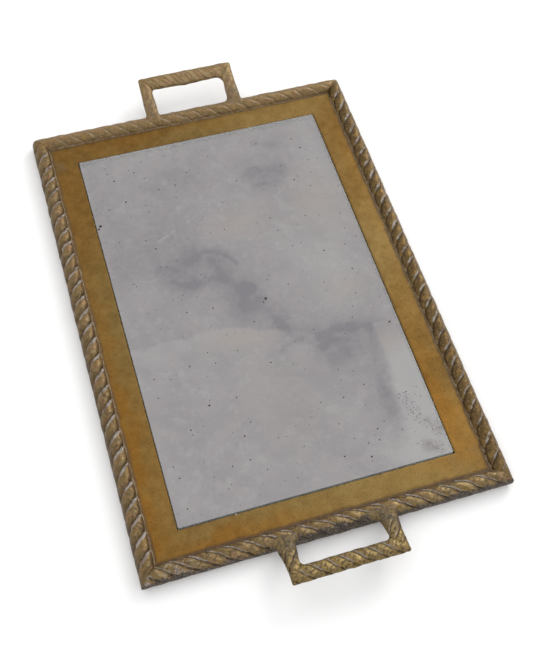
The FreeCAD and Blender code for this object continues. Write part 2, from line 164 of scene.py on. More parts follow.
class Rope:
    """One straight length of rope: its section, its twist and how its surface was worked."""

    def __init__(self, across, thick, lead, twist, seed, look):
        self.across = across
        self.thick = thick
        self.twist = twist
        self.seed = seed
        self.look = {**PLAIN_LOOK, **look}
        self.strands = self.look["strands"]
        self.lead = lead * self.strands / STRANDS
        self.radius = (across + thick) / 2
        self.slope = math.atan(FULL_TURN * self.radius / self.lead)
        self.strand_width = self.lead / self.strands * math.sin(self.slope)
        self.scale = lead / self.strands / USUAL_PITCH

    def place(self, along, turn):
        """Points on the plain round rope, where noise is looked up."""
        along, turn = np.broadcast_arrays(along, turn)
        return np.stack(
            [along + self.seed, self.radius * np.cos(turn), self.radius * np.sin(turn)], axis=-1
        )

    def strand_position(self, along, turn):
        """Strand number, and signed distance from the middle of that strand."""
        place = self.place(along, turn)
        wander = 0.34 * (noise(place, 22, self.seed + 1) - 0.5)
        wander = wander + 0.16 * (noise(place, 6, self.seed + 2) - 0.5)
        phase = self.strands * (turn / FULL_TURN - self.twist * along / self.lead) + wander
        strand = np.floor(phase)
        return strand.astype(np.int64), (phase - strand - 0.5) * self.strand_width

    def cut_mask(self, along, strand, offset):
        """Short chased lines across each strand."""
        distance = along + self.twist * offset * math.sin(self.slope)
        drift = 1.6 * noise(np.stack([along, offset, 0 * offset], axis=-1), 9, self.seed + 8)
        line = distance / math.cos(self.slope) / CUT_SPACING
        line = line + 5 * pick(self.seed, strand % 7) + drift
        number = np.floor(line).astype(np.int64)
        shown = pick(self.seed + 7, number, strand) < self.look["cuts"]
        shift = 0.5 + 0.4 * (pick(self.seed + 9, number, strand) - 0.5)
        start = -0.34 + 0.3 * pick(self.seed + 11, number, strand)
        stop = 0.42 - 0.25 * pick(self.seed + 13, number, strand)
        share = offset / self.strand_width
        inside = smoothstep(start - 0.04, start + 0.04, share)
        inside = inside * (1 - smoothstep(stop - 0.04, stop + 0.04, share))
        return shown * inside * bell((line - number - shift) * CUT_SPACING, CUT_WIDTH)

    def pit_mask(self, along, turn):
        """Small casting holes."""
        random = np.random.default_rng(self.seed + 17)
        low, high = float(np.min(along)), float(np.max(along))
        mask = np.zeros(np.broadcast(along, turn).shape)
        for _ in range(self.look["pits"]):
            middle = random.uniform(low, high)
            angle = random.uniform(0.1, math.pi)
            size = random.uniform(0.3, 0.62) * MM
            gap = self.radius * np.angle(np.exp(1j * (turn - angle)))
            mask = np.maximum(mask, bell(np.hypot(along - middle, gap), size))
        return mask

    def kept(self, turn, plain):
        """How far the strands still show: less in joints, on a worn side and at the foot."""
        low, high = (math.radians(angle) for angle in self.look["smooth"])
        keep = (1 - plain) * (1 - 0.8 * smoothstep(low, high, turn))
        if self.look["foot"]:
            keep = keep * (0.3 + 0.7 * smoothstep(0, math.radians(self.look["foot"]), turn))
        return keep

    def relief(self, along, turn, plain):
        """Depth below the round outline, and the masks for the material.

        plain is 1 where the strands have melted into a smooth joint.
        """
        strand, offset = self.strand_position(along, turn)
        place = self.place(along, turn)
        keep = self.kept(turn, plain)
        edge = np.maximum(0.5 * self.strand_width - np.abs(offset), 0)
        groove = bell(edge, GROOVE_WIDTH * self.scale)
        share = np.abs(2 * offset / self.strand_width - 0.08)
        dome = 1 - (1 - np.clip(share, 0, 1) ** 2.4) ** 0.62
        lobe = (STRAND_RISE * dome + GROOVE_DEPTH * groove) * self.look["boldness"]
        level = STRAND_STEP * pick(self.seed + 3, strand, strand * 0)
        soft = WORN_DEPTH * noise(place, 6, self.seed + 4)
        worked = keep * (1 - self.look["calm"] * np.cos(turn) ** 4)
        depth = ((lobe + level) * worked + WORN_DEPTH * (1 - worked) + soft) * self.scale
        cut = self.cut_mask(along, strand, offset)
        pit = self.pit_mask(along, turn)
        hammer = noise(place, 2.2, self.seed + 5)
        depth = depth + HAMMER_DEPTH * hammer + CUT_DEPTH * cut * keep + PIT_DEPTH * pit
        masks = self.residue_highlight_and_shade(place, turn, offset, edge, groove, keep)
        return depth, {**masks, "cut": cut * keep, "pit": pit}

    def residue_highlight_and_shade(self, place, turn, offset, edge, groove, keep):
        """Masks of the pale residue, the painted highlights along the crests and the painted shade beside
        the grooves.
        """
        look = self.look
        turn = turn + 0 * offset
        outer = 1 - smoothstep(math.radians(115), math.radians(150), turn)
        top = outer
        if look["rise"]:
            rise = math.radians(look["rise"])
            top = top * smoothstep(0.6 * rise, 1.4 * rise, turn)
        ragged = 0.7 * MM * (noise(place, 1.7, self.seed + 6) - 0.5)
        past_groove = np.where(offset > 0, -edge, edge) + ragged
        size = MM * self.scale
        # Painted shade: a dark line just past each groove, the grooves darker on the rope's outer side, and
        # a broad band beyond the line
        dark = bell(past_groove - size, 0.6 * MM) + 1.3 * (1 - outer) * groove
        dark = dark + look["shade"] * bell(past_groove - 2.4 * size, 1.8 * size)
        # Painted highlight: a lighter, patchy band along each strand's crest
        painted_highlight = bell(offset / self.strand_width + 0.1, 0.22) * noise(place, 2.6, self.seed + 19)
        residue = bell(past_groove + 0.3 * size, 0.85 * size * look["spread"])
        return {
            "residue": look["pale"] * residue * keep * top,
            "crest": look["crest"] * np.clip(1.6 * painted_highlight, 0, 1) * keep * top,
            "lip": look["lip"] * np.clip(dark, 0, 1) * keep,
        }

    def section(self, turn, depth):
        """Across and up from the rope's centre, at a depth below the outline."""
        cos, sin = np.cos(turn), np.sin(turn)
        normal_x, normal_y = cos / self.across, sin / self.thick
        length = np.hypot(normal_x, normal_y)
        return (
            self.across * cos - depth * normal_x / length,
            self.thick * sin - depth * normal_y / length,
        )


def sweep(rope, turn, shares, start, stop, seams):
    """Rings of points (along, across, up) between two end limits, which depend on across.

    seams gives, for the start and the stop, how far strands fade out and how deep the seam is.
    """
    across = rope.across * np.cos(turn)[None, :] * np.ones((len(shares), 1))
    for _ in range(4):      # the ends follow the relief, and the relief follows the ends
        first, last = start(across), stop(across)
        along = first + shares[:, None] * (last - first)
        plain = np.zeros_like(along)
        seam = np.zeros_like(along)
        for gap, (fade, depth) in ((along - first, seams[0]), (last - along, seams[1])):
            if fade:
                plain = np.maximum(plain, 1 - smoothstep(0, fade, gap))
            seam = seam + depth * bell(gap, 0.7 * MM)
        depth, masks = rope.relief(along, turn[None, :], plain)
        across, up = rope.section(turn[None, :], depth + seam)
        masks["seam"] = np.clip(seam / (0.4 * MM), 0, 1)
    return np.stack([along, across, up], axis=-1), masks


def add_masks(mesh, masks):
    """Store masks on a mesh's points, where the materials read them."""
    for key, values in masks.items():
        layer = mesh.attributes.new(key, "FLOAT", "POINT")
        layer.data.foreach_set("value", np.ascontiguousarray(values, dtype=np.float32).ravel())


def mesh_piece(name, rings, masks, closed=False):
    """A tube of rings (N, M, 3), capped unless it is closed on itself."""
    count, around = rings.shape[:2]
    first = np.arange(count - 1)[:, None] * around
    here = np.arange(around)[None, :]
    beside = (here + 1) % around
    quads = np.stack(
        [first + here, first + beside, first + around + beside, first + around + here], axis=-1
    ).reshape(-1, 4)
    faces = quads.tolist()
    if not closed:
        faces.append(list(range(around))[::-1])
        faces.append(list(range((count - 1) * around, count * around)))
    mesh = bpy.data.meshes.new(name)
    mesh.from_pydata(rings.reshape(-1, 3).tolist(), [], faces)
    add_masks(mesh, masks)
    return finish_mesh(name, mesh)


def finish_mesh(name, mesh):
    """A smooth piece in the scene, with no loose points and its faces outward."""
    work = bmesh.new()
    work.from_mesh(mesh)
    loose = [point for point in work.verts if not point.link_faces]
    bmesh.ops.delete(work, geom=loose, context="VERTS")
    bmesh.ops.recalc_face_normals(work, faces=work.faces)
    work.to_mesh(mesh)
    work.free()
    mesh.polygons.foreach_set("use_smooth", [True] * len(mesh.polygons))
    mesh.update()
    piece = bpy.data.objects.new(name, mesh)
    bpy.context.scene.collection.objects.link(piece)
    return piece


def to_world(rings, origin, along, across, up):
    """Rings given along, across and up from an origin, as points in the tray's frame."""
    axes = np.array([along, across, up], dtype=float)
    return np.asarray(origin, dtype=float) + rings @ axes


def round_corners(points, half_x, half_y, radii):
    """Round the outer corners of a rectangle in plan; radii are keyed by the corner's signs."""
    result = points.copy()
    for (sign_x, sign_y), radius in radii.items():
        inward_x = half_x - sign_x * result[..., 0]
        inward_y = half_y - sign_y * result[..., 1]
        from_x, from_y = radius - inward_x, radius - inward_y
        inside = (from_x > 0) & (from_y > 0)
        largest = np.maximum(from_x, from_y)
        length = np.maximum(np.hypot(from_x, from_y), 1e-9)
        pull = np.where(inside, 1 - largest / length, 0)
        result[..., 0] -= sign_x * pull * from_x
        result[..., 1] -= sign_y * pull * from_y
    return result


# ---- rope rim

RAILS = {
    "left": {"inner": (1, 0), "seed": 11, "step": 0.5 * MM},
    "right": {"inner": (-1, 0), "seed": 23, "step": 0.5 * MM},
    "front": {"inner": (0, 1), "seed": 37, "step": 0.38 * MM},
    "back": {"inner": (0, -1), "seed": 53, "step": 0.45 * MM},
}
RAIL_LOOKS = {
    "left": {
        "strands": 2.7, "boldness": 0.85, "smooth": (155, 175), "foot": 60, "cuts": 0.10, "pits": 10,
        "pale": 1.15, "spread": 0.95, "lip": 0.6, "shade": 0.8, "crest": 0.5,
    },
    "right": {
        "strands": 2.6, "boldness": 0.85, "smooth": (110, 150), "rise": 52, "cuts": 0.08, "pits": 8,
        "pale": 0.8, "spread": 0.9, "lip": 0.6, "shade": 0.6, "crest": 0.2,
    },
    "front": {
        "smooth": (175, 200), "foot": 30, "cuts": 0.3, "pits": 26,
        "pale": 0.85, "spread": 0.6, "shade": 0.25, "crest": 0.9,
    },
    "back": {
        "strands": 3.4, "boldness": 0.45, "smooth": (110, 150), "foot": 60, "pits": 4,
        "pale": 0.45, "spread": 1.9, "lip": 0.25, "shade": 0.4, "crest": 0.5,
    },
}
CORNER_RADII = {
    (-1, -1): 1.5 * MM,
    (1, -1): 3.2 * MM,
    (-1, 1): 6.5 * MM,
    (1, 1): 5.0 * MM,
}
# How each corner was joined: how far the strands fade out, and the depth of its seam
CORNER_JOINTS = {
    (-1, -1): (3.0 * MM, 0.16 * MM),
    (1, -1): (7.0 * MM, 0.0),
    (-1, 1): (15.0 * MM, 0.0),
    (1, 1): (5.0 * MM, 0.0),
}


UP = np.array([0.0, 0.0, 1.0])


def rail_axes(side):
    """A rail's inward and lengthwise directions, half its length, and its distance out."""
    inner = np.array([*RAILS[side]["inner"], 0.0])
    half, away = (AXIS_Y, AXIS_X) if inner[0] else (AXIS_X, AXIS_Y)
    return inner, np.cross(inner, UP), half, away


def rail_turns():
    """Angles round a rail from its inner foot over the top to the lip under the plates."""
    shoulder = math.radians(215)
    lip = FULL_TURN - math.asin((ROPE_HEIGHT - PLATE_BOTTOM) / ROPE_RADIUS)
    shown = np.linspace(FOOT_ANGLE, shoulder, 60, endpoint=False)
    hidden = np.linspace(shoulder, lip, 18)
    return np.concatenate([shown, hidden])


def rail_rope(side):
    """The rope of one rail."""
    return Rope(ROPE_RADIUS, ROPE_RADIUS, ROPE_LEAD, 1, RAILS[side]["seed"], RAIL_LOOKS[side])


def make_rail(side):
    """One rail of the rim: mitred, flat underneath, with a rebate for the plates."""
    inner, along, half, away = rail_axes(side)
    shares = np.linspace(0, 1, int(2 * half / RAILS[side]["step"]))
    corners = [tuple(np.rint(-inner[:2] + way * along[:2])) for way in (-1, 1)]
    seams = [CORNER_JOINTS[corner] for corner in corners]
    rings, masks = sweep(
        rail_rope(side), rail_turns(), shares,
        lambda across: across - half,
        lambda across: half - across,
        seams,
    )
    rings[:, 0, 2] = PLATE_TOP - ROPE_HEIGHT
    rings[:, -1, 2] = PLATE_BOTTOM - ROPE_HEIGHT
    rings[..., 2] = np.maximum(rings[..., 2], -ROPE_HEIGHT)
    rebate = []
    for column, height in ((-1, PLATE_BOTTOM), (0, PLATE_TOP)):
        wall = rings[:, column].copy()
        limit = half - REBATE_WALL
        wall[:, 0] = wall[:, 0] * limit / np.maximum(half - rings[:, column, 1], 1e-6)
        wall[:, 1] = REBATE_WALL
        wall[:, 2] = height - ROPE_HEIGHT
        rebate.append(wall)
    rings = np.concatenate([rings, rebate[0][:, None], rebate[1][:, None]], axis=1)
    masks = {key: np.pad(values, ((0, 0), (0, 2))) for key, values in masks.items()}
    if side == "front":
        masks["residue"] = np.maximum(masks["residue"], corner_frost(rings, half))
    masks["grime_and_shade"] = rail_grime_and_shade(side, rings)
    # warm holds the inner walls' painted shade, a darker golden brown
    masks["warm"] = rail_inner_shade(side, rings)
    world = to_world(rings, UP * ROPE_HEIGHT - inner * away, along, inner, UP)
    world = round_corners(world, RIM_HALF_X, RIM_HALF_Y, CORNER_RADII)
    piece = mesh_piece(f"rope_rim_{side}", world, masks)
    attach(piece, "root")
    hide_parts(f"rope_rail_{side}")
    return piece


def corner_frost(rings, half):
    """Pale bloom on the front rail near its left-hand corner."""
    near = 1 - smoothstep(14 * MM, 62 * MM, rings[..., 0] + half)
    flakes = noise(rings + 2.0, 6, 75) * 0.6 + noise(rings + 4.0, 1.6, 76) * 0.4
    return 0.55 * near * smoothstep(0.5, 0.66, flakes) * smoothstep(-2 * MM, 3 * MM, rings[..., 2])


def rail_grime_and_shade(side, rings):
    """Dirt and painted shade low on the walls, and painted shade thick behind the front handle."""
    along, across, up = rings[..., 0], rings[..., 1], rings[..., 2]
    patchy = noise(rings + 3.0, 9, 71) * 0.6 + noise(rings + 7.0, 2.5, 72) * 0.4
    start = {"left": 4.4, "right": 6.6, "front": 4.6, "back": 7.2}[side] * MM
    ragged = noise(rings + 5.0, 1.6, 74) - 0.5
    rise = (3.0 * (patchy - 0.5) + 1.8 * ragged) * MM
    # Dirt and painted shade over the outer wall and its low part, and a little on the inner wall
    outer = smoothstep(start, start + 2 * MM, -across + rise)
    outer = np.maximum(outer, (across < 0) * (1 - smoothstep(-2.5 * MM, 2.5 * MM, up)))
    inner = smoothstep(3 * MM, 6.5 * MM, across)
    grime_and_shade = (0.65 + 0.35 * patchy) * outer + 0.3 * inner * patchy
    # Painted shade on the front rail's wall behind and under the front handle
    if side == "front":
        reach = HANDLES["front"]["width"] / 2 - 6 * MM
        behind = 1 - smoothstep(reach - 6 * MM, reach + 2 * MM, np.abs(along - HANDLES["front"]["shift"]))
        wall = smoothstep(1.2 * MM, 2.6 * MM, -across + 1.6 * rise) * behind
        grime_and_shade = np.maximum(grime_and_shade, wall * (0.75 + 0.25 * patchy))
    return np.clip(grime_and_shade, 0, 1)


def rail_inner_shade(side, rings):
    """How far the inner walls, which face the mirror, are painted a darker golden brown as shade."""
    across = rings[..., 1]
    patchy = noise(rings + 11.0, 14, 73)
    start = {"left": 0.0, "right": -6.5, "front": -1.0, "back": -1.0}[side] * MM
    inner = smoothstep(start, start + 5 * MM, across)
    share = {"left": 0.3, "right": 1.0, "front": 0.45, "back": 0.4}[side]
    return np.clip(share * inner * (0.75 + 0.5 * patchy), 0, 1)


# ---- handles


def handle_axes(end):
    """Origin at the middle of the bar, then the directions outward and square to the handle."""
    spec = HANDLES[end]
    out = spec["out"]
    outward = np.array([0.0, out * math.cos(HANDLE_TILT), math.sin(HANDLE_TILT)])
    normal = np.array([0.0, -out * math.sin(HANDLE_TILT), math.cos(HANDLE_TILT)])
    origin = np.array([spec["shift"], out * HANDLE_REACH, HANDLE_HEIGHT])
    return origin, outward, normal


def fillet_swell(rings, gap, radius):
    """Push the inner side out near a corner, as a fillet of that radius does, but less far."""
    inside = np.clip(radius - gap, 0, radius)
    swell = radius - np.sqrt(np.maximum(radius**2 - inside**2, 0))
    weight = smoothstep(0, 1, rings[..., 1] / np.max(rings[..., 1]))
    rings = rings.copy()
    rings[..., 1] += np.minimum(swell, 0.3 * radius) * weight
    return rings


def round_handle_corners(rings, half_width, radii):
    """Round the two outer corners; rings are (x, outward, normal) in the handle's own frame."""
    keyed = {(sign, 1): radius for sign, radius in radii.items()}
    return round_corners(rings, half_width, BAR_RADIUS, keyed)


HANDLE_LOOKS = {
    "front": {"boldness": 0.78, "calm": 0.75, "spread": 0.6, "pale": 0.9},
    "back": {"boldness": 0.32, "calm": 0.75, "lip": 0.15, "spread": 1.7, "pale": 0.35},
}
BAR_LOOKS = {
    "front": {"seed": 61, "strands": 3, "cuts": 0.85, "pits": 16},
    "back": {"seed": 67, "strands": 3, "cuts": 0.0, "pits": 4},
}
# Posts by handle and side. At its root each one widens by its swell on the inner side, and its
# braze reaches out by its flare, with more of it on the inner side where it leans that way.
POSTS = {
    ("front", -1): {"seed": 71, "cuts": 0.6, "flare": 6.8 * MM, "swell": 2.0 * MM, "lean": 0.2},
    ("front", 1): {"seed": 73, "cuts": 0.6, "flare": 6.6 * MM, "swell": 1.8 * MM, "lean": 0.7},
    ("back", -1): {"seed": 79, "cuts": 0.0, "flare": 3.2 * MM, "swell": 0.6 * MM, "lean": 0.0},
    ("back", 1): {"seed": 83, "cuts": 0.0, "flare": 4.6 * MM, "swell": 0.8 * MM, "lean": 0.2},
}
MITRE_JOINT = (2.5 * MM, 0.12 * MM)     # how far the strands fade out, and the depth of the seam
BRAZED_JOINT = (9 * MM, 0.0)


def make_bar(end):
    """The bar across the posts, in one piece with its mitred ends."""
    spec, look = HANDLES[end], BAR_LOOKS[end]
    origin, outward, normal = handle_axes(end)
    half = spec["width"] / 2
    thickness = BAR_RADIUS + spec["fatter"]
    mitre = POST_RADIUS / thickness
    rope = Rope(thickness, HANDLE_HALF_THICK, BAR_LEAD, 1, look["seed"], {**HANDLE_LOOKS[end], **look})
    turn = np.linspace(0, FULL_TURN, 96, endpoint=False)
    shares = np.linspace(0, 1, int(2 * half / (0.42 * MM)))
    rings, masks = sweep(
        rope, turn, shares,
        lambda across: across * mitre - (half - POST_RADIUS),
        lambda across: (half - POST_RADIUS) - across * mitre,
        [MITRE_JOINT, MITRE_JOINT],
    )
    rings[..., 1] += spec["fatter"]
    along = rings[..., 0]
    sign_x = -spec["out"]
    for side in (-1, 1):
        gap = half - 2 * POST_RADIUS - side * along
        rings = fillet_swell(rings, gap, spec["inner_radii"][side * sign_x])
    rings[..., 1] += spec["sag"] * smoothstep(0, BAR_RADIUS, rings[..., 1]) * bell(along, 16 * MM)
    local = np.stack([sign_x * rings[..., 0], -rings[..., 1], rings[..., 2]], axis=-1)
    local = round_handle_corners(local, half, spec["outer_radii"])
    masks["grime_and_shade"] = handle_grime_and_shade(local)
    masks["warm"] = 0 * along
    piece = mesh_piece(f"{end}_bar", to_world(local, origin, (1, 0, 0), outward, normal), masks)
    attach(piece, "root")
    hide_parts(f"{end}_handle_bar")
    return piece


def handle_grime_and_shade(local):
    """Dirt and painted shade under the handle and towards its roots."""
    outward, normal = local[..., 1], local[..., 2]
    patchy = noise(local + 5.0, 5, 81)
    # Painted shade on the underside, and dirt with painted shade towards the roots
    below = 1 - smoothstep(-3.5 * MM, 1.0 * MM, normal)
    root = smoothstep(2 * MM, 24 * MM, -outward)
    fine = noise(local + 9.0, 1.8, 82)
    return np.clip(below * (0.5 + 0.5 * patchy) + 0.95 * root * (0.6 * patchy + 0.4 * fine), 0, 1)


def rail_surface(end, x, angle, sink):
    """Point on the short rail's rope at a place along it and an angle round it."""
    out = HANDLES[end]["out"]
    depth, _ = rail_rope(end).relief(-out * x, angle, 0 * x)
    radius = ROPE_RADIUS - depth - sink
    y = out * AXIS_Y - out * radius * np.cos(angle)
    return np.stack([x, y, ROPE_HEIGHT + radius * np.sin(angle)], axis=-1)


def root_contact(end, tip, direction):
    """Where lines along the post meet the rail: distance along the line, x and angle."""
    out = HANDLES[end]["out"]
    radius = ROPE_RADIUS - 0.6 * MM
    inward = -out * (tip[:, 1] - out * AXIS_Y)
    height = tip[:, 2] - ROPE_HEIGHT
    step_in, step_up = -out * direction[1], direction[2]
    half_b = inward * step_in + height * step_up
    rest = inward**2 + height**2 - radius**2
    square = np.maximum(half_b**2 - rest, 0)
    hit = -half_b - np.sqrt(square)
    crest = (0.2 * MM - inward) / step_in
    reach = np.minimum(np.where(half_b**2 > rest, hit, crest), crest)
    inward = inward + reach * step_in
    height = height + reach * step_up
    return reach, tip[:, 0], np.arctan2(height, inward)


def braze_rings(end, post, shoulder, tips, contact):
    """Rings from a post's end out over the rail, as brazing leaves it, and then into the rail.

    contact holds, for each angle round the post, its x and angle on the rail, how far it faces
    up, and how much more braze it gets towards the opening.
    """
    place_x, angle, top, towards = contact
    middle_x, middle_angle = float(np.mean(place_x)), float(np.mean(angle))
    away_x = place_x - middle_x
    away_angle = (angle - middle_angle) * ROPE_RADIUS
    length = np.maximum(np.hypot(away_x, away_angle), 1e-6)
    ragged = 1 + 0.25 * (noise(np.stack([tips[:, 0], angle, angle * 0], -1), 3, post["seed"]) - 0.5)
    spread = post["flare"] * (0.95 - 0.55 * top + towards) * ragged
    end_x = place_x + spread * away_x / length
    end_angle = angle + spread * away_angle / length / ROPE_RADIUS
    corner = rail_surface(end, place_x, angle, 0.0)
    toe = rail_surface(end, end_x, end_angle, 0.12 * MM)
    steps = np.linspace(0, 1, 12)[1:, None, None]
    curve = (1 - steps) ** 2 * shoulder + 2 * steps * (1 - steps) * corner + steps**2 * toe
    inside_x = middle_x + 0.4 * (end_x - middle_x)
    inside_angle = middle_angle + 0.4 * (end_angle - middle_angle)
    inside = rail_surface(end, inside_x, inside_angle, 1.6 * MM)
    return np.concatenate([curve, inside[None]])


def make_post(end, side):
    """One post, mitred to the bar and flared onto the rim."""
    spec, post = HANDLES[end], POSTS[end, side]
    origin, outward, normal = handle_axes(end)
    half = spec["width"] / 2
    down = -outward
    inner = np.array([-side, 0.0, 0.0])
    twist = int(round(float(np.dot(down, np.cross(inner, normal)))))
    look = {**HANDLE_LOOKS[end], "cuts": post["cuts"], "pits": 5}
    rope = Rope(POST_RADIUS, HANDLE_HALF_THICK, POST_LEAD, twist, post["seed"], look)
    turn = np.linspace(0, FULL_TURN, 96, endpoint=False)
    foot = origin + side * (half - POST_RADIUS) * np.array([1.0, 0.0, 0.0])
    across, up = rope.section(turn, 0.7 * MM * rope.scale)
    across = across + post["swell"] * np.cos(turn)
    tips = foot + across[:, None] * inner + up[:, None] * normal
    reach, place_x, angle = root_contact(end, tips, down)
    top = smoothstep(-1, 1, np.sin(turn))
    towards = post["lean"] * np.maximum(np.cos(turn), 0) ** 2
    lift = post["flare"] * (1.0 + 0.25 * top + towards)
    mitre = (BAR_RADIUS + spec["fatter"]) / POST_RADIUS
    rings, masks = sweep(
        rope, turn, np.linspace(0, 1, 76),
        lambda across: across * mitre + spec["fatter"],
        lambda across: np.ones_like(across) * (reach - lift)[None, :],
        [MITRE_JOINT, BRAZED_JOINT],
    )
    gap = rings[..., 0] - BAR_RADIUS - 2 * spec["fatter"]
    rings = fillet_swell(rings, gap, spec["inner_radii"][side])
    widening = 1 - smoothstep(6 * MM, 24 * MM, reach[None, :] - rings[..., 0])
    rings[..., 1] += post["swell"] * np.cos(turn)[None, :] * widening
    local = np.stack(
        [side * (half - POST_RADIUS) - side * rings[..., 1], -rings[..., 0], rings[..., 2]], axis=-1
    )
    local = round_handle_corners(local, half, {side: spec["outer_radii"][side]})
    world = to_world(local, origin, (1, 0, 0), outward, normal)
    braze = braze_rings(end, post, world[-1], tips, (place_x, angle, top, towards))
    extra = len(braze)
    masks["grime_and_shade"] = handle_grime_and_shade(local)
    # Dirt and painted shade over the braze, darker towards the rail
    braze_dust_and_shade = np.linspace(0.25, 0.75, extra)[:, None] * (0.5 + 0.5 * noise(braze, 4, post["seed"] + 2))
    above = np.linspace(1.0, 0.8, extra)[:, None] * masks["grime_and_shade"][-1]
    masks = {key: np.pad(values, ((0, extra), (0, 0))) for key, values in masks.items()}
    masks["grime_and_shade"][-extra:] = np.maximum(braze_dust_and_shade, above)
    word = "left" if side < 0 else "right"
    piece = mesh_piece(f"{end}_{word}_post", np.concatenate([world, braze]), masks)
    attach(piece, "root")
    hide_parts(f"{end}_handle_{word}_post")
    return piece


# ---- solder, plates and mirror


def solder_side(side):
    """Rings of the bead along one rail, from mitre to mitre."""
    inner, along, half, away = rail_axes(side)
    position = np.linspace(-1, 1, int(2 * half / (0.7 * MM)))[:-1]
    station = position * (half - ROPE_RADIUS)
    depth, _ = rail_rope(side).relief(station, FOOT_ANGLE + 0 * station, 0 * station)
    line = np.stack([station, 0 * station, 0 * station + away], axis=-1)
    fade = smoothstep(0, 0.02, 1 - np.abs(position))
    lump, ripple = noise(line, 6, 201), noise(line, 1.8, 202)
    wide = (0.35 + fade * (0.7 * lump + 0.3 * ripple)) * MM
    tall = (0.5 + fade * (0.5 * lump + 0.15 * ripple)) * MM
    foot = (ROPE_RADIUS - fade * (depth - 0.9 * MM) - 0.9 * MM) * math.cos(FOOT_ANGLE)
    toe = foot + wide
    hidden = 5.6 * MM       # well inside the rope
    profile = [
        (hidden, tall + 0.5 * MM),
        (foot - 0.5 * MM, tall),
        (foot + 0.25 * wide, 0.72 * tall),
        (foot + 0.65 * wide, 0.34 * tall),
        (toe, -0.05 * MM),
        (toe, -0.5 * MM),
        (hidden, -0.5 * MM),
    ]
    columns = [
        np.stack([position * (half - across), across + 0 * station, PLATE_TOP + height + 0 * station], -1)
        for across, height in profile
    ]
    return to_world(np.stack(columns, axis=1), -inner * away, along, inner, UP)


def make_solder():
    """The bead of solder along the rope's inner foot, one closed loop round the tray."""
    rings, tones = [], []
    for side in ("left", "front", "right", "back"):
        rings.append(solder_side(side))
        tones.append(np.full(rings[-1].shape[:2], 1.0 if side == "front" else 0.0))
    rings, tones = (np.concatenate([*parts, parts[0][:1]]) for parts in (rings, tones))
    piece = mesh_piece("solder_bead", rings, {"front": tones}, closed=True)
    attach(piece, "root")
    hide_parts("rim_solder_bead")
    return piece


def grid_lines(half, hole_half, step, bevel):
    """Grid positions across a plate, with close lines at its edges and at the window's edges."""
    fixed = [half, half - bevel]
    if hole_half:
        fixed += [hole_half, hole_half + bevel / 2, hole_half + bevel]
    fixed = sorted({sign * value for value in fixed for sign in (-1, 1)})
    lines = []
    for low, high in zip(fixed[:-1], fixed[1:]):
        count = max(1, int(round((high - low) / step)))
        lines += list(np.linspace(low, high, count, endpoint=False))
    return np.array(lines + [fixed[-1]])


def plate_piece(name, xs, ys, height, bottom, masks=None, hole=None, plain_bottom=False):
    """A plate whose top is at a height, or at heights for (x, y), with a window of half size hole."""
    grid_x, grid_y = np.meshgrid(xs, ys, indexing="ij")
    height = height(grid_x, grid_y) if callable(height) else 0 * grid_x + height
    points = np.stack([[grid_x, grid_y, height], [grid_x, grid_y, 0 * grid_x + bottom]])
    solid = np.ones((len(xs) - 1, len(ys) - 1), dtype=bool)
    if hole:
        middle_x, middle_y = (xs[:-1] + xs[1:]) / 2, (ys[:-1] + ys[1:]) / 2
        solid = ~((np.abs(middle_x)[:, None] < hole[0]) & (np.abs(middle_y)[None, :] < hole[1]))
    offset = grid_x.size
    index = np.arange(offset).reshape(grid_x.shape)
    quads = np.stack([index[:-1, :-1], index[1:, :-1], index[1:, 1:], index[:-1, 1:]], axis=-1)[solid]
    under = (quads[:, ::-1] + offset).tolist()
    if plain_bottom:
        rim = [index[:-1, 0], index[-1, :-1], index[:0:-1, -1], index[0, :0:-1]]
        under = [(np.concatenate(rim)[::-1] + offset).tolist()]
    directed = np.stack([quads, np.roll(quads, -1, axis=1)], axis=-1).reshape(-1, 2)
    edges = set(map(tuple, directed.tolist()))
    walls = [[b, a, a + offset, b + offset] for a, b in sorted(edges) if (b, a) not in edges]
    mesh = bpy.data.meshes.new(name)
    points = np.moveaxis(points, 1, -1).reshape(-1, 3)
    mesh.from_pydata(points.tolist(), [], quads.tolist() + under + walls)
    if masks:
        both_faces = {key: np.stack([values] * 2) for key, values in masks(grid_x, grid_y).items()}
        add_masks(mesh, both_faces)
    return finish_mesh(name, mesh)


def flat_place(x, y):
    """Points in metres, where noise is looked up, for x and y in mm."""
    return np.stack([x * MM, y * MM, 0 * x], axis=-1)


def stroke(x, y, points, width, soft):
    """1 inside a line of that width through points, fading at its edges, all in mm."""
    nearest = np.full(np.shape(x), 1000.0)
    for (ax, ay), (bx, by) in zip(points[:-1], points[1:]):
        dx, dy = bx - ax, by - ay
        share = np.clip(((x - ax) * dx + (y - ay) * dy) / (dx * dx + dy * dy), 0, 1)
        nearest = np.minimum(nearest, np.hypot(x - ax - share * dx, y - ay - share * dy))
    return 1 - smoothstep(width / 2 * (1 - soft), width / 2 * (1 + soft), nearest)


def patch(x, y, low, high, soft):
    """1 inside a box from low to high, with a soft edge outside it, all in mm."""
    inside = 1.0
    for value, a, b in ((x, low[0], high[0]), (y, low[1], high[1])):
        inside = inside * smoothstep(a - soft, a, value) * (1 - smoothstep(b, b + soft, value))
    return inside


WINDOW = (114.6 * MM, 182.6 * MM)


def past_window(x, y):
    """Distance outside the window's edge, in metres, for x and y in metres."""
    return np.maximum(np.abs(x) - WINDOW[0], np.abs(y) - WINDOW[1])


def surround_height(x, y):
    """Plate's top: nearly flat, with rounded edges along its window."""
    place = flat_place(x / MM, y / MM)
    wave = 0.12 * noise(place, 34, 301) + 0.03 * noise(place, 5, 302)
    edge = 0.28 * np.clip(1 - past_window(x, y) / (0.6 * MM), 0, 1) ** 2
    return PLATE_TOP - (wave + edge) * MM


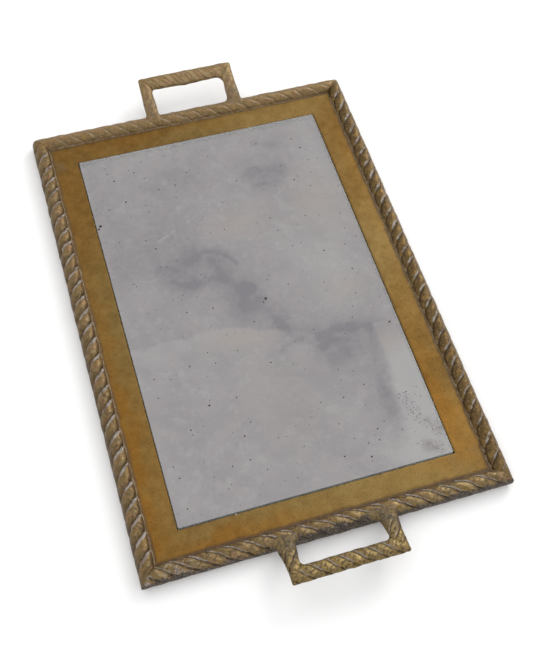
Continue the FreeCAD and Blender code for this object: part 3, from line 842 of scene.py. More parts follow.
# Tone of the border along each side: (mm along it, lightness, warmth by the mirror, warmth by the rope)
PATINA = {
    "left": [
        (-219, 0.52, 0.2, 1.0),
        (-150, 0.64, 0.4, 1.0),
        (-75, 0.62, 0.3, 1.0),
        (0, 0.62, 0.0, 0.6),
        (60, 0.53, 0.15, 0.5),
        (120, 0.37, 0.5, 0.6),
        (219, 0.31, 0.6, 0.7),
    ],
    "right": [
        (-219, 0.9, 0.6, 0.4),
        (-150, 0.77, 0.9, 0.6),
        (-115, 0.32, 0.9, 0.1),
        (-60, 0.38, 0.4, 0.3),
        (0, 0.52, 0.0, 0.1),
        (30, 0.6, 0.0, 0.0),
        (90, 0.36, 0.2, 0.3),
        (120, 0.46, 0.2, 0.5),
        (150, 0.26, 0.3, 0.5),
        (219, 0.45, 0.15, 0.4),
    ],
    "front": [
        (-152, 0.5, 0.5, 0.3),
        (-90, 0.62, 0.1, 0.9),
        (-30, 0.84, 0.1, 0.6),
        (0, 0.77, 0.0, 0.15),
        (30, 0.93, 0.0, 0.1),
        (80, 0.93, 0.2, 0.1),
        (152, 1.0, 0.8, 0.4),
    ],
    "back": [
        (-152, 0.31, 0.4, 0.5),
        (-60, 0.31, 0.3, 0.7),
        (0, 0.5, 0.0, 0.4),
        (60, 0.79, 0.1, 0.2),
        (152, 0.66, 0.15, 0.25),
    ],
}


def border_patina(x, y, wander):
    """Lightness and warmth of the border, blended between its four sides at the mitres."""
    foot_x, foot_y = (AXIS_X - ROPE_RADIUS) / MM, (AXIS_Y - ROPE_RADIUS) / MM
    gaps = {"left": foot_x + x, "right": foot_x - x, "front": foot_y + y, "back": foot_y - y}
    light, warm, total = 0, 0, 0
    for side, knots in PATINA.items():
        gap = np.maximum(gaps[side], 1)
        along = (y if side in ("left", "right") else x) + 1.3 * wander
        place, lightness, inner, outer = np.array(knots).T
        inside = smoothstep(3, 17, gap + wander)
        weight = (1 / gap) ** 4
        here = (1 - inside) * np.interp(along, place, outer) + inside * np.interp(along, place, inner)
        warm = warm + weight * here
        light = light + weight * np.interp(along, place, lightness)
        total = total + weight
    return light / total, warm / total


def surround_masks(x, y):
    """Lightness and warmth of the brass, its dirt and painted shade beside the rope and the glass, and its
    stains.
    """
    rope_gap = np.minimum(AXIS_X - ROPE_RADIUS - np.abs(x), AXIS_Y - ROPE_RADIUS - np.abs(y)) / MM
    glass_gap = past_window(x, y) / MM
    x, y = x / MM, y / MM
    place = flat_place(x, y)
    rough = noise(place, 12, 311) - 0.5
    fine = noise(place, 3, 312) - 0.5
    wander = 12 * rough + 4 * fine
    light, warm = border_patina(x, y, wander)
    light = light + 0.34 * (noise(place, 7, 313) - 0.5) + 0.3 * fine
    # Dirt and painted shade in the creases along the rope's foot and the glass's edge
    dirt = (1 - smoothstep(0, 1.6, rope_gap + 0.12 * wander)) * 0.7
    dirt = np.maximum(dirt, 0.4 * (1 - smoothstep(0, 0.9, glass_gap + 0.05 * wander)))
    corner = 0.45 * patch(x, y, (112, -200), (132, -184), 8)
    corner = np.maximum(corner, 0.5 * patch(x, y, (-134, 180), (-112, 203), 8))
    masks = {
        "light": light,
        "warm": warm,
        "dirt": dirt,
        "stain": corner * smoothstep(-0.15, 0.25, rough + 0.5 * fine),
        "residue": (1 - smoothstep(0.8, 2.6, rope_gap + 0.15 * wander)) * (y < -180),
        "chip": glow(x, y, (-68, -182.9), (1.1, 0.6)),
    }
    return {key: np.clip(values, 0, 1) for key, values in masks.items()}


def make_surround():
    """The brass plate round the mirror."""
    half_x, half_y = SURROUND[1][0], SURROUND[1][1]
    xs = grid_lines(half_x, WINDOW[0], 1.6 * MM, 0.6 * MM)
    ys = grid_lines(half_y, WINDOW[1], 1.6 * MM, 0.6 * MM)
    piece = plate_piece(
        "mirror_border", xs, ys, surround_height, SURROUND[0][2], surround_masks, WINDOW
    )
    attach(piece, "root")
    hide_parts("mirror_surround")
    return piece


# Broad shades of the old silvering: (middle, half size, strength), in mm from the mirror's middle
DARK_SHADES = [
    ((-62, 82), (42, 48), 0.42),
    ((-36, 40), (36, 24), 0.34),
    ((-10, -6), (20, 16), 0.22),
    ((-106, 66), (15, 50), 0.25),
    ((8, -98), (20, 40), 0.2),
    ((-30, 146), (36, 20), 0.42),
    ((-106, 150), (16, 44), 0.25),
    ((50, 130), (28, 18), 0.32),
    ((64, -62), (22, 18), 0.36),
    ((76, -116), (16, 30), 0.2),
]
PALE_SHADES = [
    ((74, 15), (30, 50), 0.3),
    ((102, 140), (14, 46), 0.25),
    ((-100, -33), (24, 7), 0.2),
    ((86, -172), (24, 12), 0.7),
]
BEIGE_SHADES = [
    ((-20, -33), (28, 8), 0.8),
    ((12, 82), (24, 14), 0.6),
    ((90, 88), (22, 28), 0.6),
    ((84, -10), (20, 14), 0.5),
    ((100, -68), (11, 11), 0.7),
    ((-2, -103), (24, 40), 0.3),
]
# Smudges and other strokes: (points, width, softness, strength)
SMUDGES = [
    ([(-70, 52), (-54, 47)], 7, 1.0, 0.4),
    ([(-46, 53), (-36, 57)], 6.5, 0.9, 0.65),
    ([(-34, 57), (-24, 58), (-16, 55)], 5.5, 0.9, 0.42),
    ([(-12, 51), (-5, 42)], 6.5, 0.9, 0.55),
    ([(-24, 55), (-24, 44), (-21, 34)], 6, 0.9, 0.4),
    ([(-61, 35), (-52, 29), (-44, 28)], 7, 0.8, 0.75),
    ([(-42, 28), (-28, 30), (-18, 28)], 5, 0.9, 0.5),
    ([(-17, 28), (-8, 16)], 7, 0.9, 0.5),
    ([(-4, 12), (-1, 10)], 15, 0.4, 0.9),
    ([(-6, 4), (-8, -4)], 12, 0.8, 0.6),
    ([(4, -4), (14, -13), (18, -26), (19, -36)], 18, 1.0, 0.34),
    ([(15, -24), (19, -40)], 8, 0.9, 0.35),
    ([(9, -55), (19, -50), (30, -49)], 6, 0.9, 0.4),
    ([(44, -50), (59, -47), (74, -50), (90, -53)], 9, 0.7, 0.5),
    ([(43, -62), (54, -57), (64, -59)], 11, 0.9, 0.55),
    ([(46, -78), (60, -73)], 14, 0.9, 0.5),
    ([(89, -58), (86, -80), (82, -99), (79, -117)], 10, 0.9, 0.35),
    ([(79, -117), (80, -132)], 13, 0.9, 0.3),
    ([(36, 132), (66, 128)], 17, 1.0, 0.45),
    ([(50, 164), (71, 158)], 9, 1.0, 0.4),
    ([(34, 119), (60, 117)], 5, 1.0, 0.35),
]
LIGHT_SCRATCHES = [
    ([(-66, 80), (-45, 88)], 1.2, 0.7, 1.0),
    ([(-44, 89), (-34, 93)], 1.2, 0.7, 1.0),
    ([(-34, 93), (-8, 107)], 1.2, 0.7, 1.0),
]
ROT = [
    ([(91, -122), (97, -138), (106, -152), (111, -160)], 9, 0.9, 1.0),
    ([(96, -168), (105, -172)], 9, 0.9, 0.9),
]
BROWNING = [
    ([(108, -148), (112, -158)], 7, 0.9, 0.3),
    ([(97, -170), (105, -174)], 9, 0.9, 0.35),
]
# An old tide mark across the mirror, greyer above it
TIDE_LINE = [(-114, -21), (-79, -22), (-48, -19), (-15, -25), (12, -35), (45, -48), (89, -52), (114, -49)]
# Right-hand edge of the long smudge, with cleaner silver beyond it
CLEAN_EDGE = [(-182, 78), (-140, 85), (-117, 85), (-99, 88), (-80, 90), (-56, 94)]
# Larger black spots: (x, y, radius)
BLACK_SPOTS = [
    (11, -2, 1.5), (8, -5, 0.9), (0, 170, 0.8), (52, 164, 0.9), (91, 149, 1.0), (103, 133, 0.8),
    (111, 96, 0.8), (55, 112, 0.8), (-34, 137, 0.9), (-66, 143, 0.8), (-87, 156, 1.0), (-58, 171, 0.8),
    (-40, 178, 0.7), (-82, 130, 1.0), (-63, 83, 0.8), (-3, -63, 0.9), (94, 7, 0.9), (107, -53, 1.2),
    (18, 16, 0.8), (-63, -87, 1.1), (-43, -121, 1.0), (-17, -130, 0.8), (29, -160, 0.9), (50, -166, 1.0),
    (42, -147, 0.8), (61, -154, 0.9), (-41, -164, 0.8), (-52, -179, 0.8), (-66, -76, 0.8),
    (-76, -148, 0.8), (57, -99, 0.7), (23, -139, 0.7), (6, -163, 0.7), (-110, 110, 1.7), (-112, 107, 1.2),
]
# Small black spots: (how many, limits of x, limits of y, limits of the radius)
SCATTERED_SPOTS = [
    (230, (-110, 110), (-178, 178), (0.45, 0.9)),
    (26, (88, 108), (-160, -118), (0.4, 0.7)),
]


def glow(x, y, middle, size):
    """1 at a point, fading smoothly over a size, all in mm."""
    return np.exp(-(((x - middle[0]) / size[0]) ** 2) - ((y - middle[1]) / size[1]) ** 2)


def shades(x, y, spots):
    """Broad soft patches added together."""
    return sum(strength * glow(x, y, middle, size) for middle, size, strength in spots)


def wavering(value, place, seed, fine_seed):
    """A coordinate in mm that wanders a little, so that no mark has a ruled edge."""
    value = value + 4 * (noise(place, 13, seed) - 0.5)
    return value + 1.8 * (noise(place, 3.5, fine_seed) - 0.5)


def black_spots(x, y):
    """Points where the silver has gone, with the large ones placed and the small ones scattered."""
    random = np.random.default_rng(404)
    drawn = list(BLACK_SPOTS)
    for count, across, along, size in SCATTERED_SPOTS:
        drawn += [[random.uniform(*limits) for limits in (across, along, size)] for _ in range(count)]
    spots = np.zeros_like(x)
    for spot_x, spot_y, radius in drawn:
        gap = np.hypot(x - spot_x, y - spot_y)
        spots = np.maximum(spots, np.clip(1.5 - gap / radius, 0, 1))
    return spots


def strongest(x, y, strokes):
    """The strongest of several strokes, each given as (points, width, softness, strength)."""
    marks = [strength * stroke(x, y, points, width, soft) for points, width, soft, strength in strokes]
    return np.maximum.reduce(marks)


def silvering_masks(x, y):
    """How far the silver has greyed, browned, paled or gone black."""
    x, y = x / MM, y / MM
    place = flat_place(x, y)
    bend_x = wavering(x, place, 401, 407)
    bend_y = wavering(y, place, 402, 408)
    grey = shades(bend_x, bend_y, DARK_SHADES)
    for points, width, soft, strength in SMUDGES:
        mark = stroke(bend_x, bend_y, points, width, soft)
        halo = 0.35 * stroke(bend_x, bend_y, points, 2.4 * width, 1.0)
        grey = grey + strength * np.maximum(mark, halo) * (1 - 0.5 * grey)
    tide = bend_y - np.interp(bend_x, *np.array(TIDE_LINE).T)
    above = smoothstep(-1.5, 1.5, tide)
    below = (1 - above) * bell(tide + 5, 8) * (1 - smoothstep(-20, 30, x))
    grey = grey + 0.26 * above * np.exp(-np.maximum(tide, 0) / 26)
    clean = bend_x - np.interp(y, *np.array(CLEAN_EDGE).T)
    pale = smoothstep(-2, 6, clean) * (1 - smoothstep(-95, -50, bend_y))
    grey = grey * (1 - 0.9 * pale)
    pale = np.maximum(0.62 * pale, shades(bend_x, bend_y, PALE_SHADES))
    pale = np.maximum(pale, 0.45 * below * noise(place, 14, 411))
    uneven = 0.65 + 0.35 * noise(place, 9, 406) + 0.35 * noise(place, 3, 409)
    bend = 1.5 * (noise(place, 9, 410) - 0.5)
    return {
        "grey": np.clip(grey * uneven, 0, 1),
        "beige": np.clip(shades(bend_x, bend_y, BEIGE_SHADES) * (1 - 0.6 * above * bell(tide, 16)), 0, 1),
        "pale": np.clip(pale, 0, 1),
        "scratch": strongest(x + bend, y - bend, LIGHT_SCRATCHES),
        "spots": black_spots(x, y),
        "rot": strongest(bend_x, bend_y, ROT),
        "brown": strongest(bend_x, bend_y, BROWNING),
    }


def make_silvering():
    """The silver layer under the glass, with its blemishes painted on."""
    low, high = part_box("mirror_silvering")
    xs = grid_lines(GLASS[1][0], 0, 1.0 * MM, 0.5 * MM)
    ys = grid_lines(GLASS[1][1], 0, 1.0 * MM, 0.5 * MM)
    top = high[2] - 0.03 * MM      # clear of the glass
    piece = plate_piece("mirror_silver", xs, ys, top, low[2], silvering_masks, plain_bottom=True)
    piece.data.polygons.foreach_set("use_smooth", [False] * len(piece.data.polygons))
    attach(piece, "root")
    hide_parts("mirror_silvering")
    return piece


def make_felt():
    """The felt glued under the base plate: fluffy, with a slightly uneven cut edge."""
    low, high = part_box("base_felt")
    xs = grid_lines(high[0], 0, 2.2 * MM, 0.8 * MM)
    ys = grid_lines(high[1], 0, 2.2 * MM, 0.8 * MM)
    piece = plate_piece("felt_pad", xs, ys, high[2], low[2])
    points = np.empty(len(piece.data.vertices) * 3)
    piece.data.vertices.foreach_get("co", points)
    points = points.reshape(-1, 3)
    flat = points * [1, 1, 0]
    below = points[:, 2] < (low[2] + high[2]) / 2
    fluff = noise(flat, 4.5, 502) * 0.16 + noise(flat, 30, 503) * 0.18
    points[below, 2] += fluff[below] * MM
    edge = np.minimum(high[0] - np.abs(points[:, 0]), high[1] - np.abs(points[:, 1])) < 0.3 * MM
    points[edge, :2] *= 1 - 0.0035 * noise(flat, 12, 504)[edge, None]
    piece.data.vertices.foreach_set("co", points.ravel())
    piece.data.update()
    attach(piece, "root")
    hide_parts("base_felt")
    return piece


# ---- materials

LIGHT_LEVEL = 1.35       # how bright a white surface facing up shows under the studio light


def tone(red, green, blue):
    """Base colour that shows as about that screen colour, 0 to 255, under the studio light."""
    linear = []
    for value in (red, green, blue):
        share = value / 255
        linear.append(((share + 0.055) / 1.055) ** 2.4 / LIGHT_LEVEL)
    return (*linear, 1.0)


class Nodes:
    """Short calls for the nodes of one material. Its colour is built up coat by coat."""

    def __init__(self, name, colour=None):
        self.material = bpy.data.materials.new(name)
        self.material.use_nodes = True
        self.tree = self.material.node_tree
        self.tree.nodes.clear()
        self.place = self.add("TexCoord").outputs["Object"]
        self.colour = colour

    def add(self, kind, inputs=None, **settings):
        node = self.tree.nodes.new("ShaderNode" + kind)
        for key, value in settings.items():
            setattr(node, key, value)
        for key, value in (inputs or {}).items():
            if isinstance(value, bpy.types.NodeSocket):
                self.tree.links.new(value, node.inputs[key])
            else:
                node.inputs[key].default_value = value
        return node

    def mask(self, name):
        return self.add("Attribute", attribute_name=name).outputs["Fac"]

    def noise(self, size, detail=3.0, rough=0.55, stretch=None):
        """Noise with features about one size in mm across."""
        place = self.place
        if stretch:
            place = self.add("Mapping", {"Vector": place, "Scale": stretch}).outputs["Vector"]
        inputs = {"Vector": place, "Scale": 1 / (size * MM), "Detail": detail, "Roughness": rough}
        return self.add("TexNoise", inputs).outputs["Fac"]

    def ramp(self, value, low, high, start=0.0, stop=1.0):
        inputs = {"Value": value, "From Min": low, "From Max": high, "To Min": start, "To Max": stop}
        return self.add("MapRange", inputs, interpolation_type="SMOOTHSTEP").outputs["Result"]

    def calc(self, operation, a, b):
        return self.add("Math", {0: a, 1: b}, operation=operation).outputs[0]

    def sum(self, a, b):
        return self.calc("ADD", a, b)

    def times(self, a, b):
        return self.calc("MULTIPLY", a, b)

    def larger(self, a, b):
        return self.calc("MAXIMUM", a, b)

    def mix(self, a, b, share):
        return self.add("Mix", {0: share, 6: a, 7: b}, data_type="RGBA").outputs[2]

    def blend(self, a, b, share):
        return self.add("Mix", {0: share, 2: a, 3: b}, data_type="FLOAT").outputs[0]

    def mix_shaders(self, a, b, share):
        return self.add("MixShader", {0: share, 1: a, 2: b}).outputs[0]

    def paint(self, colour, share, strength=None):
        """Lay a colour over the colour so far."""
        if strength is not None:
            share = self.times(share, strength)
        self.colour = self.mix(self.colour, colour, share)

    def bump(self, height, depth):
        """Surface normals for a height, with depth in mm."""
        inputs = {"Height": height, "Distance": depth * MM, "Strength": 1.0}
        return self.add("Bump", inputs).outputs["Normal"]

    def surface(self, metallic, roughness, normal=None, **more):
        inputs = {"Base Color": self.colour, "Metallic": metallic, "Roughness": roughness, **more}
        if normal:
            inputs["Normal"] = normal
        return self.finish(self.add("BsdfPrincipled", inputs).outputs["BSDF"])

    def finish(self, shader):
        self.add("OutputMaterial", {"Surface": shader})
        return self.material


def rope_brass(name, main, rosy, gold, dark, crest, residue, residue_share, dirt_and_shade_share):
    """Old worked brass: blotched patina, pale residue in the grooves, painted highlights along the crests,
    painted shade beside the grooves and on the inner walls, dirt and painted shade low down.

    The colours are screen colours. The shares say how much residue there is, and how much dirt with painted
    shade.
    """
    n = Nodes(name, tone(*main))
    broad = n.noise(15, 3)
    patchy = n.noise(4.0, 4, 0.62)
    blotch = n.noise(2.3, 4, 0.68)
    fine = n.noise(0.7, 3, 0.65)
    n.paint(tone(*rosy), n.ramp(n.noise(7, 4, 0.6), 0.45, 0.62))
    # Painted shade: the inner walls facing the mirror go a darker golden brown
    n.paint(tone(94, 71, 35), n.mask("warm"), n.ramp(patchy, 0.3, 0.6, 1.0, 0.75))
    n.paint(tone(*gold), n.ramp(patchy, 0.46, 0.62), n.ramp(broad, 0.35, 0.6, 0.35, 1.0))
    n.paint(tone(*dark), n.ramp(blotch, 0.52, 0.64), 0.75)
    n.paint(tone(56, 45, 32), n.ramp(fine, 0.54, 0.66), 0.7 * dirt_and_shade_share)
    n.paint(tone(190, 166, 124), n.ramp(fine, 0.46, 0.34), 0.5)
    # Painted highlight along each strand's crest
    n.paint(tone(*crest), n.ramp(n.mask("crest"), 0.25, 0.8), n.ramp(fine, 0.4, 0.6, 0.75, 0.35))
    pale = n.times(n.ramp(n.mask("residue"), 0.2, 0.75), n.ramp(patchy, 0.38, 0.56, 0.3, residue_share))
    n.paint(tone(*residue), pale)
    # Painted shade: a dark line beside each groove and a broader band beyond it
    n.paint(tone(58, 46, 32), n.ramp(n.mask("lip"), 0.1, 0.9), n.ramp(blotch, 0.35, 0.6, 0.55, 0.95))
    # Dirt, and painted shade low on the walls and under and behind the handles
    grime_and_shade = n.mask("grime_and_shade")
    n.paint(tone(54, 43, 33), n.ramp(grime_and_shade, 0.1, 0.9, 0.0, dirt_and_shade_share), n.ramp(blotch, 0.35, 0.6, 0.7, 1.0))
    flecks = n.times(n.ramp(grime_and_shade, 0.2, 0.6), n.ramp(n.noise(1.5, 3, 0.6), 0.56, 0.64))
    n.paint(tone(138, 126, 118), flecks, 0.7)
    marks = n.larger(n.times(n.mask("cut"), n.ramp(patchy, 0.36, 0.56, 0.4, 1.0)), n.mask("pit"))
    n.paint(tone(44, 34, 24), marks, 0.9)
    n.paint(tone(70, 56, 40), n.mask("seam"), 0.6)
    covered = n.larger(n.times(pale, 0.8), n.larger(grime_and_shade, marks))
    roughness = n.sum(n.ramp(fine, 0.3, 0.7, 0.3, 0.44), n.times(covered, 0.22))
    height = n.sum(n.times(fine, 0.5), n.times(n.noise(0.35, 2), 0.2))
    height = n.sum(height, n.times(n.noise(2.6, 3, 0.6), 1.3))
    return n.surface(n.ramp(covered, 0.0, 1.0, 0.8, 0.1), roughness, n.bump(height, 0.24))


def border_brass():
    """The brass round the mirror: warm by the solder, olive by the glass, stained and speckled."""
    n = Nodes("border_brass")
    broad = n.noise(14, 4, 0.6)
    fine = n.noise(1.1, 4, 0.6)
    plain = n.mix(tone(108, 80, 36), tone(154, 128, 76), n.mask("light"))
    warm = n.mix(tone(120, 82, 27), tone(163, 115, 46), n.mask("light"))
    n.colour = n.mix(plain, warm, n.mask("warm"))
    n.paint(tone(104, 92, 62), n.mask("stain"), 0.7)
    n.paint(tone(98, 72, 42), n.mask("residue"), 0.7)
    # Dirt and painted shade beside the rope and the glass
    n.paint(tone(66, 50, 32), n.mask("dirt"), n.ramp(fine, 0.3, 0.6, 0.4, 1.0))
    n.paint(tone(70, 54, 34), n.ramp(n.noise(1.7, 2, 0.5), 0.70, 0.76), 0.7)
    n.paint(tone(92, 70, 36), n.ramp(fine, 0.50, 0.66), 0.45)
    n.paint(tone(168, 138, 82), n.ramp(n.noise(0.9, 3, 0.6), 0.52, 0.68), 0.35)
    n.paint(tone(236, 224, 216), n.ramp(n.mask("chip"), 0.3, 0.9, 0.0, 0.8))
    covered = n.larger(n.mask("dirt"), n.times(n.mask("stain"), 0.7))
    roughness = n.sum(n.ramp(broad, 0.3, 0.7, 0.3, 0.42), n.times(covered, 0.2))
    height = n.sum(n.times(n.noise(5, 2), 2.0), n.times(fine, 0.5))
    return n.surface(n.ramp(covered, 0, 1, 0.9, 0.2), roughness, n.bump(height, 0.05))


# Colours of the old silvering, as it reflects
SILVER_MAIN = (0.345, 0.328, 0.334, 1)
SILVER_CLOUD = (0.308, 0.294, 0.304, 1)
SILVER_PALE = (0.44, 0.428, 0.428, 1)
SILVER_BEIGE = (0.375, 0.342, 0.312, 1)
SILVER_GREY = (0.235, 0.226, 0.243, 1)
SILVER_BROWN = (0.11, 0.08, 0.055, 1)
SILVER_ROT = (0.13, 0.125, 0.13, 1)
SILVER_ROSE = (0.352, 0.322, 0.322, 1)
SILVER_BLACK = (0.012, 0.012, 0.014, 1)


def silver_layer():
    """Silvering seen through glass: grey, cloudy, blotched and flecked with black."""
    n = Nodes("old_silver", SILVER_MAIN)
    cloud = n.noise(34, 5, 0.6)
    fine = n.noise(0.8, 3, 0.6)
    haze = n.noise(9, 5, 0.65)
    n.paint(SILVER_CLOUD, n.ramp(cloud, 0.38, 0.6), 0.75)
    n.paint(SILVER_PALE, n.ramp(haze, 0.48, 0.7), 0.3)
    n.paint(SILVER_ROSE, n.ramp(n.noise(13, 4, 0.6), 0.52, 0.68), 0.6)
    n.paint(SILVER_GREY, n.ramp(n.noise(1.6, 4, 0.7), 0.54, 0.74), 0.3)
    n.paint(SILVER_PALE, n.mask("pale"))
    n.paint(SILVER_BEIGE, n.mask("beige"), 0.8)
    grain = n.times(n.sum(n.noise(1.3, 3), -0.5), 0.35)
    grain = n.times(grain, n.ramp(n.mask("grey"), 0.0, 0.3))
    n.paint(SILVER_GREY, n.ramp(n.sum(n.mask("grey"), grain), 0.0, 1.0))
    n.paint(SILVER_BROWN, n.mask("brown"), n.ramp(haze, 0.4, 0.6))
    rot = n.times(n.ramp(n.mask("rot"), 0.1, 0.6), n.ramp(n.noise(1.7, 5, 0.8), 0.51, 0.6))
    n.paint(SILVER_ROT, rot, 0.72)
    n.paint(SILVER_PALE, n.mask("scratch"), n.ramp(haze, 0.42, 0.56, 0.0, 0.45))
    spots = n.sum(n.mask("spots"), n.times(n.sum(fine, -0.5), 0.7))
    cells = n.add("TexVoronoi", {"Vector": n.place, "Scale": 1 / (5.5 * MM), "Randomness": 1.0})
    few = n.ramp(n.add("SeparateColor", {"Color": cells.outputs["Color"]}).outputs[0], 0.6, 0.62)
    flecks = n.times(n.ramp(cells.outputs["Distance"], 0.095, 0.06), few)
    black = n.larger(n.ramp(spots, 0.5, 0.75), n.times(flecks, n.ramp(cloud, 0.35, 0.6, 0.25, 0.7)))
    n.paint(SILVER_BLACK, black)
    rough = n.blend(0.06, 0.5, n.larger(black, n.times(n.mask("brown"), 0.6)))
    return n.surface(n.blend(1.0, 0.2, black), rough)


def glass_sheet():
    """Clear sheet glass with a greenish edge, gently smeared."""
    n = Nodes("sheet_glass")
    facing = n.add("NewGeometry").outputs
    height = n.add("SeparateXYZ", {"Vector": facing["True Normal"]}).outputs["Z"]
    level = n.calc("ABSOLUTE", height, 0.0)
    outside = n.calc("SUBTRACT", 1.0, facing["Backfacing"])
    edge = n.times(outside, n.calc("LESS_THAN", level, 0.99))
    tint = n.mix((0.985, 0.985, 0.983, 1), (0.34, 0.38, 0.36, 1), edge)
    clear = n.add("BsdfTransparent", {"Color": tint}).outputs[0]
    smear = n.ramp(n.noise(22, 4, 0.6), 0.35, 0.7, 0.15, 0.25)
    gloss = n.add("BsdfAnisotropic", {"Roughness": smear, "Color": (1, 1, 1, 1)}).outputs[0]
    share = n.times(n.add("Fresnel", {"IOR": 1.5}).outputs[0], edge)
    # From inside, the glass's side walls reflect all light back to the silvering
    wall = n.times(n.calc("LESS_THAN", level, 0.5), facing["Backfacing"])
    mirror = n.add("BsdfAnisotropic", {"Roughness": 0.05, "Color": (0.93, 0.96, 0.94, 1)}).outputs[0]
    return n.finish(n.mix_shaders(n.mix_shaders(clear, gloss, share), mirror, wall))


def solder_grey():
    """Dull solder, brown with old flux along the front."""
    n = Nodes("dull_solder", tone(142, 122, 92))
    patchy = n.noise(3.5, 4, 0.6)
    fine = n.noise(0.8, 3, 0.6)
    n.paint(tone(108, 86, 56), n.ramp(patchy, 0.35, 0.65))
    n.paint(tone(92, 68, 54), n.mask("front"), n.ramp(patchy, 0.3, 0.6, 0.5, 1.0))
    n.paint(tone(76, 60, 46), n.ramp(fine, 0.5, 0.7), 0.6)
    return n.surface(0.4, n.ramp(fine, 0.3, 0.7, 0.4, 0.62), n.bump(fine, 0.12))


def felt_green():
    """Dark green felt with pale lint."""
    n = Nodes("green_felt", tone(26, 44, 34))
    fibres = n.noise(0.5, 4, 0.75, stretch=(1, 0.3, 1))
    cross = n.noise(0.5, 4, 0.75, stretch=(0.3, 1, 1))
    both = n.times(n.sum(fibres, cross), 0.5)
    n.paint(tone(48, 70, 54), n.ramp(both, 0.38, 0.62))
    n.paint(tone(66, 80, 64), n.ramp(n.noise(24, 6, 0.7), 0.5, 0.72), 0.3)
    n.paint(tone(150, 146, 130), n.ramp(n.noise(1.1, 2, 0.4, stretch=(1, 0.2, 1)), 0.76, 0.8))
    fuzz = {"Sheen Weight": 0.5, "Sheen Roughness": 0.5}
    return n.surface(0.0, 0.95, n.bump(both, 0.35), **fuzz)


def plain_metal(name, main, second, smoothest):
    """Machined brass out of sight: fine turning marks and light tarnish."""
    n = Nodes(name, main)
    marks = n.noise(0.4, 3, 0.6, stretch=(1, 0.12, 1))
    n.paint(second, n.ramp(n.noise(6, 4, 0.6), 0.4, 0.65))
    roughness = n.ramp(marks, 0.3, 0.7, smoothest, smoothest + 0.15)
    return n.surface(0.9, roughness, n.bump(marks, 0.03))


def mastic_grey():
    """Rubbery adhesive."""
    n = Nodes("mirror_mastic", tone(96, 92, 84))
    lumps = n.noise(1.5, 3, 0.6)
    n.paint(tone(120, 114, 102), n.ramp(lumps, 0.35, 0.65))
    return n.surface(0.0, 0.6, n.bump(lumps, 0.2))


def give(piece, material):
    """The one material of a new piece."""
    piece.data.materials.clear()
    piece.data.materials.append(material)


def give_node(name, material):
    """New material in the CAD node's own slots."""
    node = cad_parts[name]
    for place in node.material_slots:
        place.material = material
    if not node.material_slots:
        node.data.materials.append(material)


# ---- build

# Colours: main, rosy, golden, dark, painted crest highlight, residue; then the shares of residue and of
# dirt with painted shade
METALS = {
    "rim_brass": (
        (131, 111, 75), (148, 118, 86), (136, 108, 56), (70, 56, 34), (186, 162, 118), (174, 166, 160),
        1.0, 1.0,
    ),
    "handle_brass_old": (
        (134, 113, 71), (146, 122, 82), (158, 132, 76), (60, 48, 30), (200, 174, 116), (160, 151, 142),
        0.9, 1.0,
    ),
    "left_brass": (
        (121, 101, 67), (142, 111, 79), (132, 106, 61), (88, 70, 43), (196, 172, 130), (176, 168, 162),
        1.0, 0.5,
    ),
    "right_brass": (
        (122, 102, 67), (140, 110, 78), (134, 106, 56), (78, 62, 38), (186, 162, 118), (172, 164, 156),
        1.0, 0.6,
    ),
    "back_brass": (
        (143, 121, 84), (158, 126, 94), (150, 120, 74), (104, 84, 54), (182, 158, 118), (164, 154, 142),
        0.8, 0.45,
    ),
}
metals = {name: rope_brass(name, *colours) for name, colours in METALS.items()}
RAIL_METALS = {"left": "left_brass", "right": "right_brass", "front": "rim_brass", "back": "back_brass"}
for side, metal in RAIL_METALS.items():
    give(make_rail(side), metals[metal])
for end, metal in (("front", "handle_brass_old"), ("back", "back_brass")):
    for piece in (make_bar(end), make_post(end, -1), make_post(end, 1)):
        give(piece, metals[metal])
give(make_solder(), solder_grey())
give(make_surround(), border_brass())
give(make_silvering(), silver_layer())
give(make_felt(), felt_green())
give_node("mirror_glass", glass_sheet())
give_node("mirror_mastic", mastic_grey())
give_node("base_plate", plain_metal("base_brass_sheet", tone(150, 120, 62), tone(120, 92, 48), 0.3))
give_node("base_screws", plain_metal("screw_metal", tone(160, 134, 76), tone(110, 88, 50), 0.28))
give_node("handle_dowels", plain_metal("dowel_metal", tone(160, 134, 76), tone(120, 96, 54), 0.25))


# ---- floor, light and camera

FLOOR_HALF = 2.2                # metres
SKY_BRIGHTNESS = 1.08
LAMP_DIRECTION = Vector((0.671, 0.47, 0.574))
LAMP_DISTANCE = 1.9             # metres
LAMP_SIZE = 0.9                 # metres
LAMP_WATTS = 12
CAMERA_PLACE = Vector((-0.1488, -0.4258, 0.7589))       # metres
CAMERA_AIM = Vector((0.1745, 0.4532, -0.8741))
CAMERA_ROLL = math.radians(4.68)
CAMERA_LENS_MM = 54.75


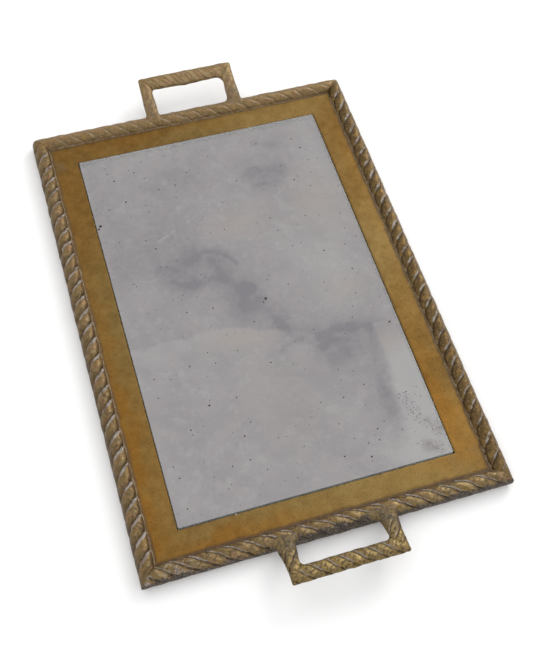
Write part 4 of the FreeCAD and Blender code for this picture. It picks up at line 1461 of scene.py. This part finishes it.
def make_floor():
    """A plain pale floor."""
    mesh = bpy.data.meshes.new("floor")
    corners = [(-1, -1), (1, -1), (1, 1), (-1, 1)]
    mesh.from_pydata([(x * FLOOR_HALF, y * FLOOR_HALF, 0) for x, y in corners], [], [(0, 1, 2, 3)])
    floor = bpy.data.objects.new("floor", mesh)
    bpy.context.scene.collection.objects.link(floor)
    n = Nodes("pale_floor", (0.93, 0.93, 0.93, 1))
    n.paint((0.90, 0.90, 0.90, 1), n.noise(400, 3))
    give(floor, n.surface(0.0, 0.8))


def make_light():
    """Soft grey surroundings and one large soft lamp from the right and behind."""
    world = bpy.data.worlds.new("studio")
    bpy.context.scene.world = world
    world.use_nodes = True
    sky = world.node_tree.nodes["Background"].inputs
    sky["Color"].default_value = (*[SKY_BRIGHTNESS] * 3, 1)
    sky["Strength"].default_value = 1.0
    lamp = bpy.data.lights.new("soft_lamp", "AREA")
    lamp.shape = "RECTANGLE"
    lamp.size = LAMP_SIZE
    lamp.size_y = LAMP_SIZE
    lamp.energy = LAMP_WATTS
    lamp.color = (1.0, 0.98, 0.95)
    holder = bpy.data.objects.new("soft_lamp", lamp)
    bpy.context.scene.collection.objects.link(holder)
    holder.location = LAMP_DIRECTION * LAMP_DISTANCE
    holder.rotation_euler = LAMP_DIRECTION.to_track_quat("Z", "Y").to_euler()


def make_camera():
    """Above the near left corner, looking down at the mirror."""
    forward = CAMERA_AIM.normalized()
    level = forward.cross(Vector((0, 0, 1))).normalized()
    upright = level.cross(forward)
    right = level * math.cos(CAMERA_ROLL) + upright * math.sin(CAMERA_ROLL)
    up = right.cross(forward)
    lens = bpy.data.cameras.new("camera")
    lens.lens = CAMERA_LENS_MM
    lens.sensor_fit = "AUTO"
    lens.sensor_width = 36
    camera = bpy.data.objects.new("camera", lens)
    bpy.context.scene.collection.objects.link(camera)
    turn = Matrix((right, up, -forward)).transposed().to_4x4()
    camera.matrix_world = Matrix.Translation(CAMERA_PLACE) @ turn
    bpy.context.scene.camera = camera


make_floor()
make_light()
make_camera()
bpy.context.scene.view_settings.view_transform = "Standard"
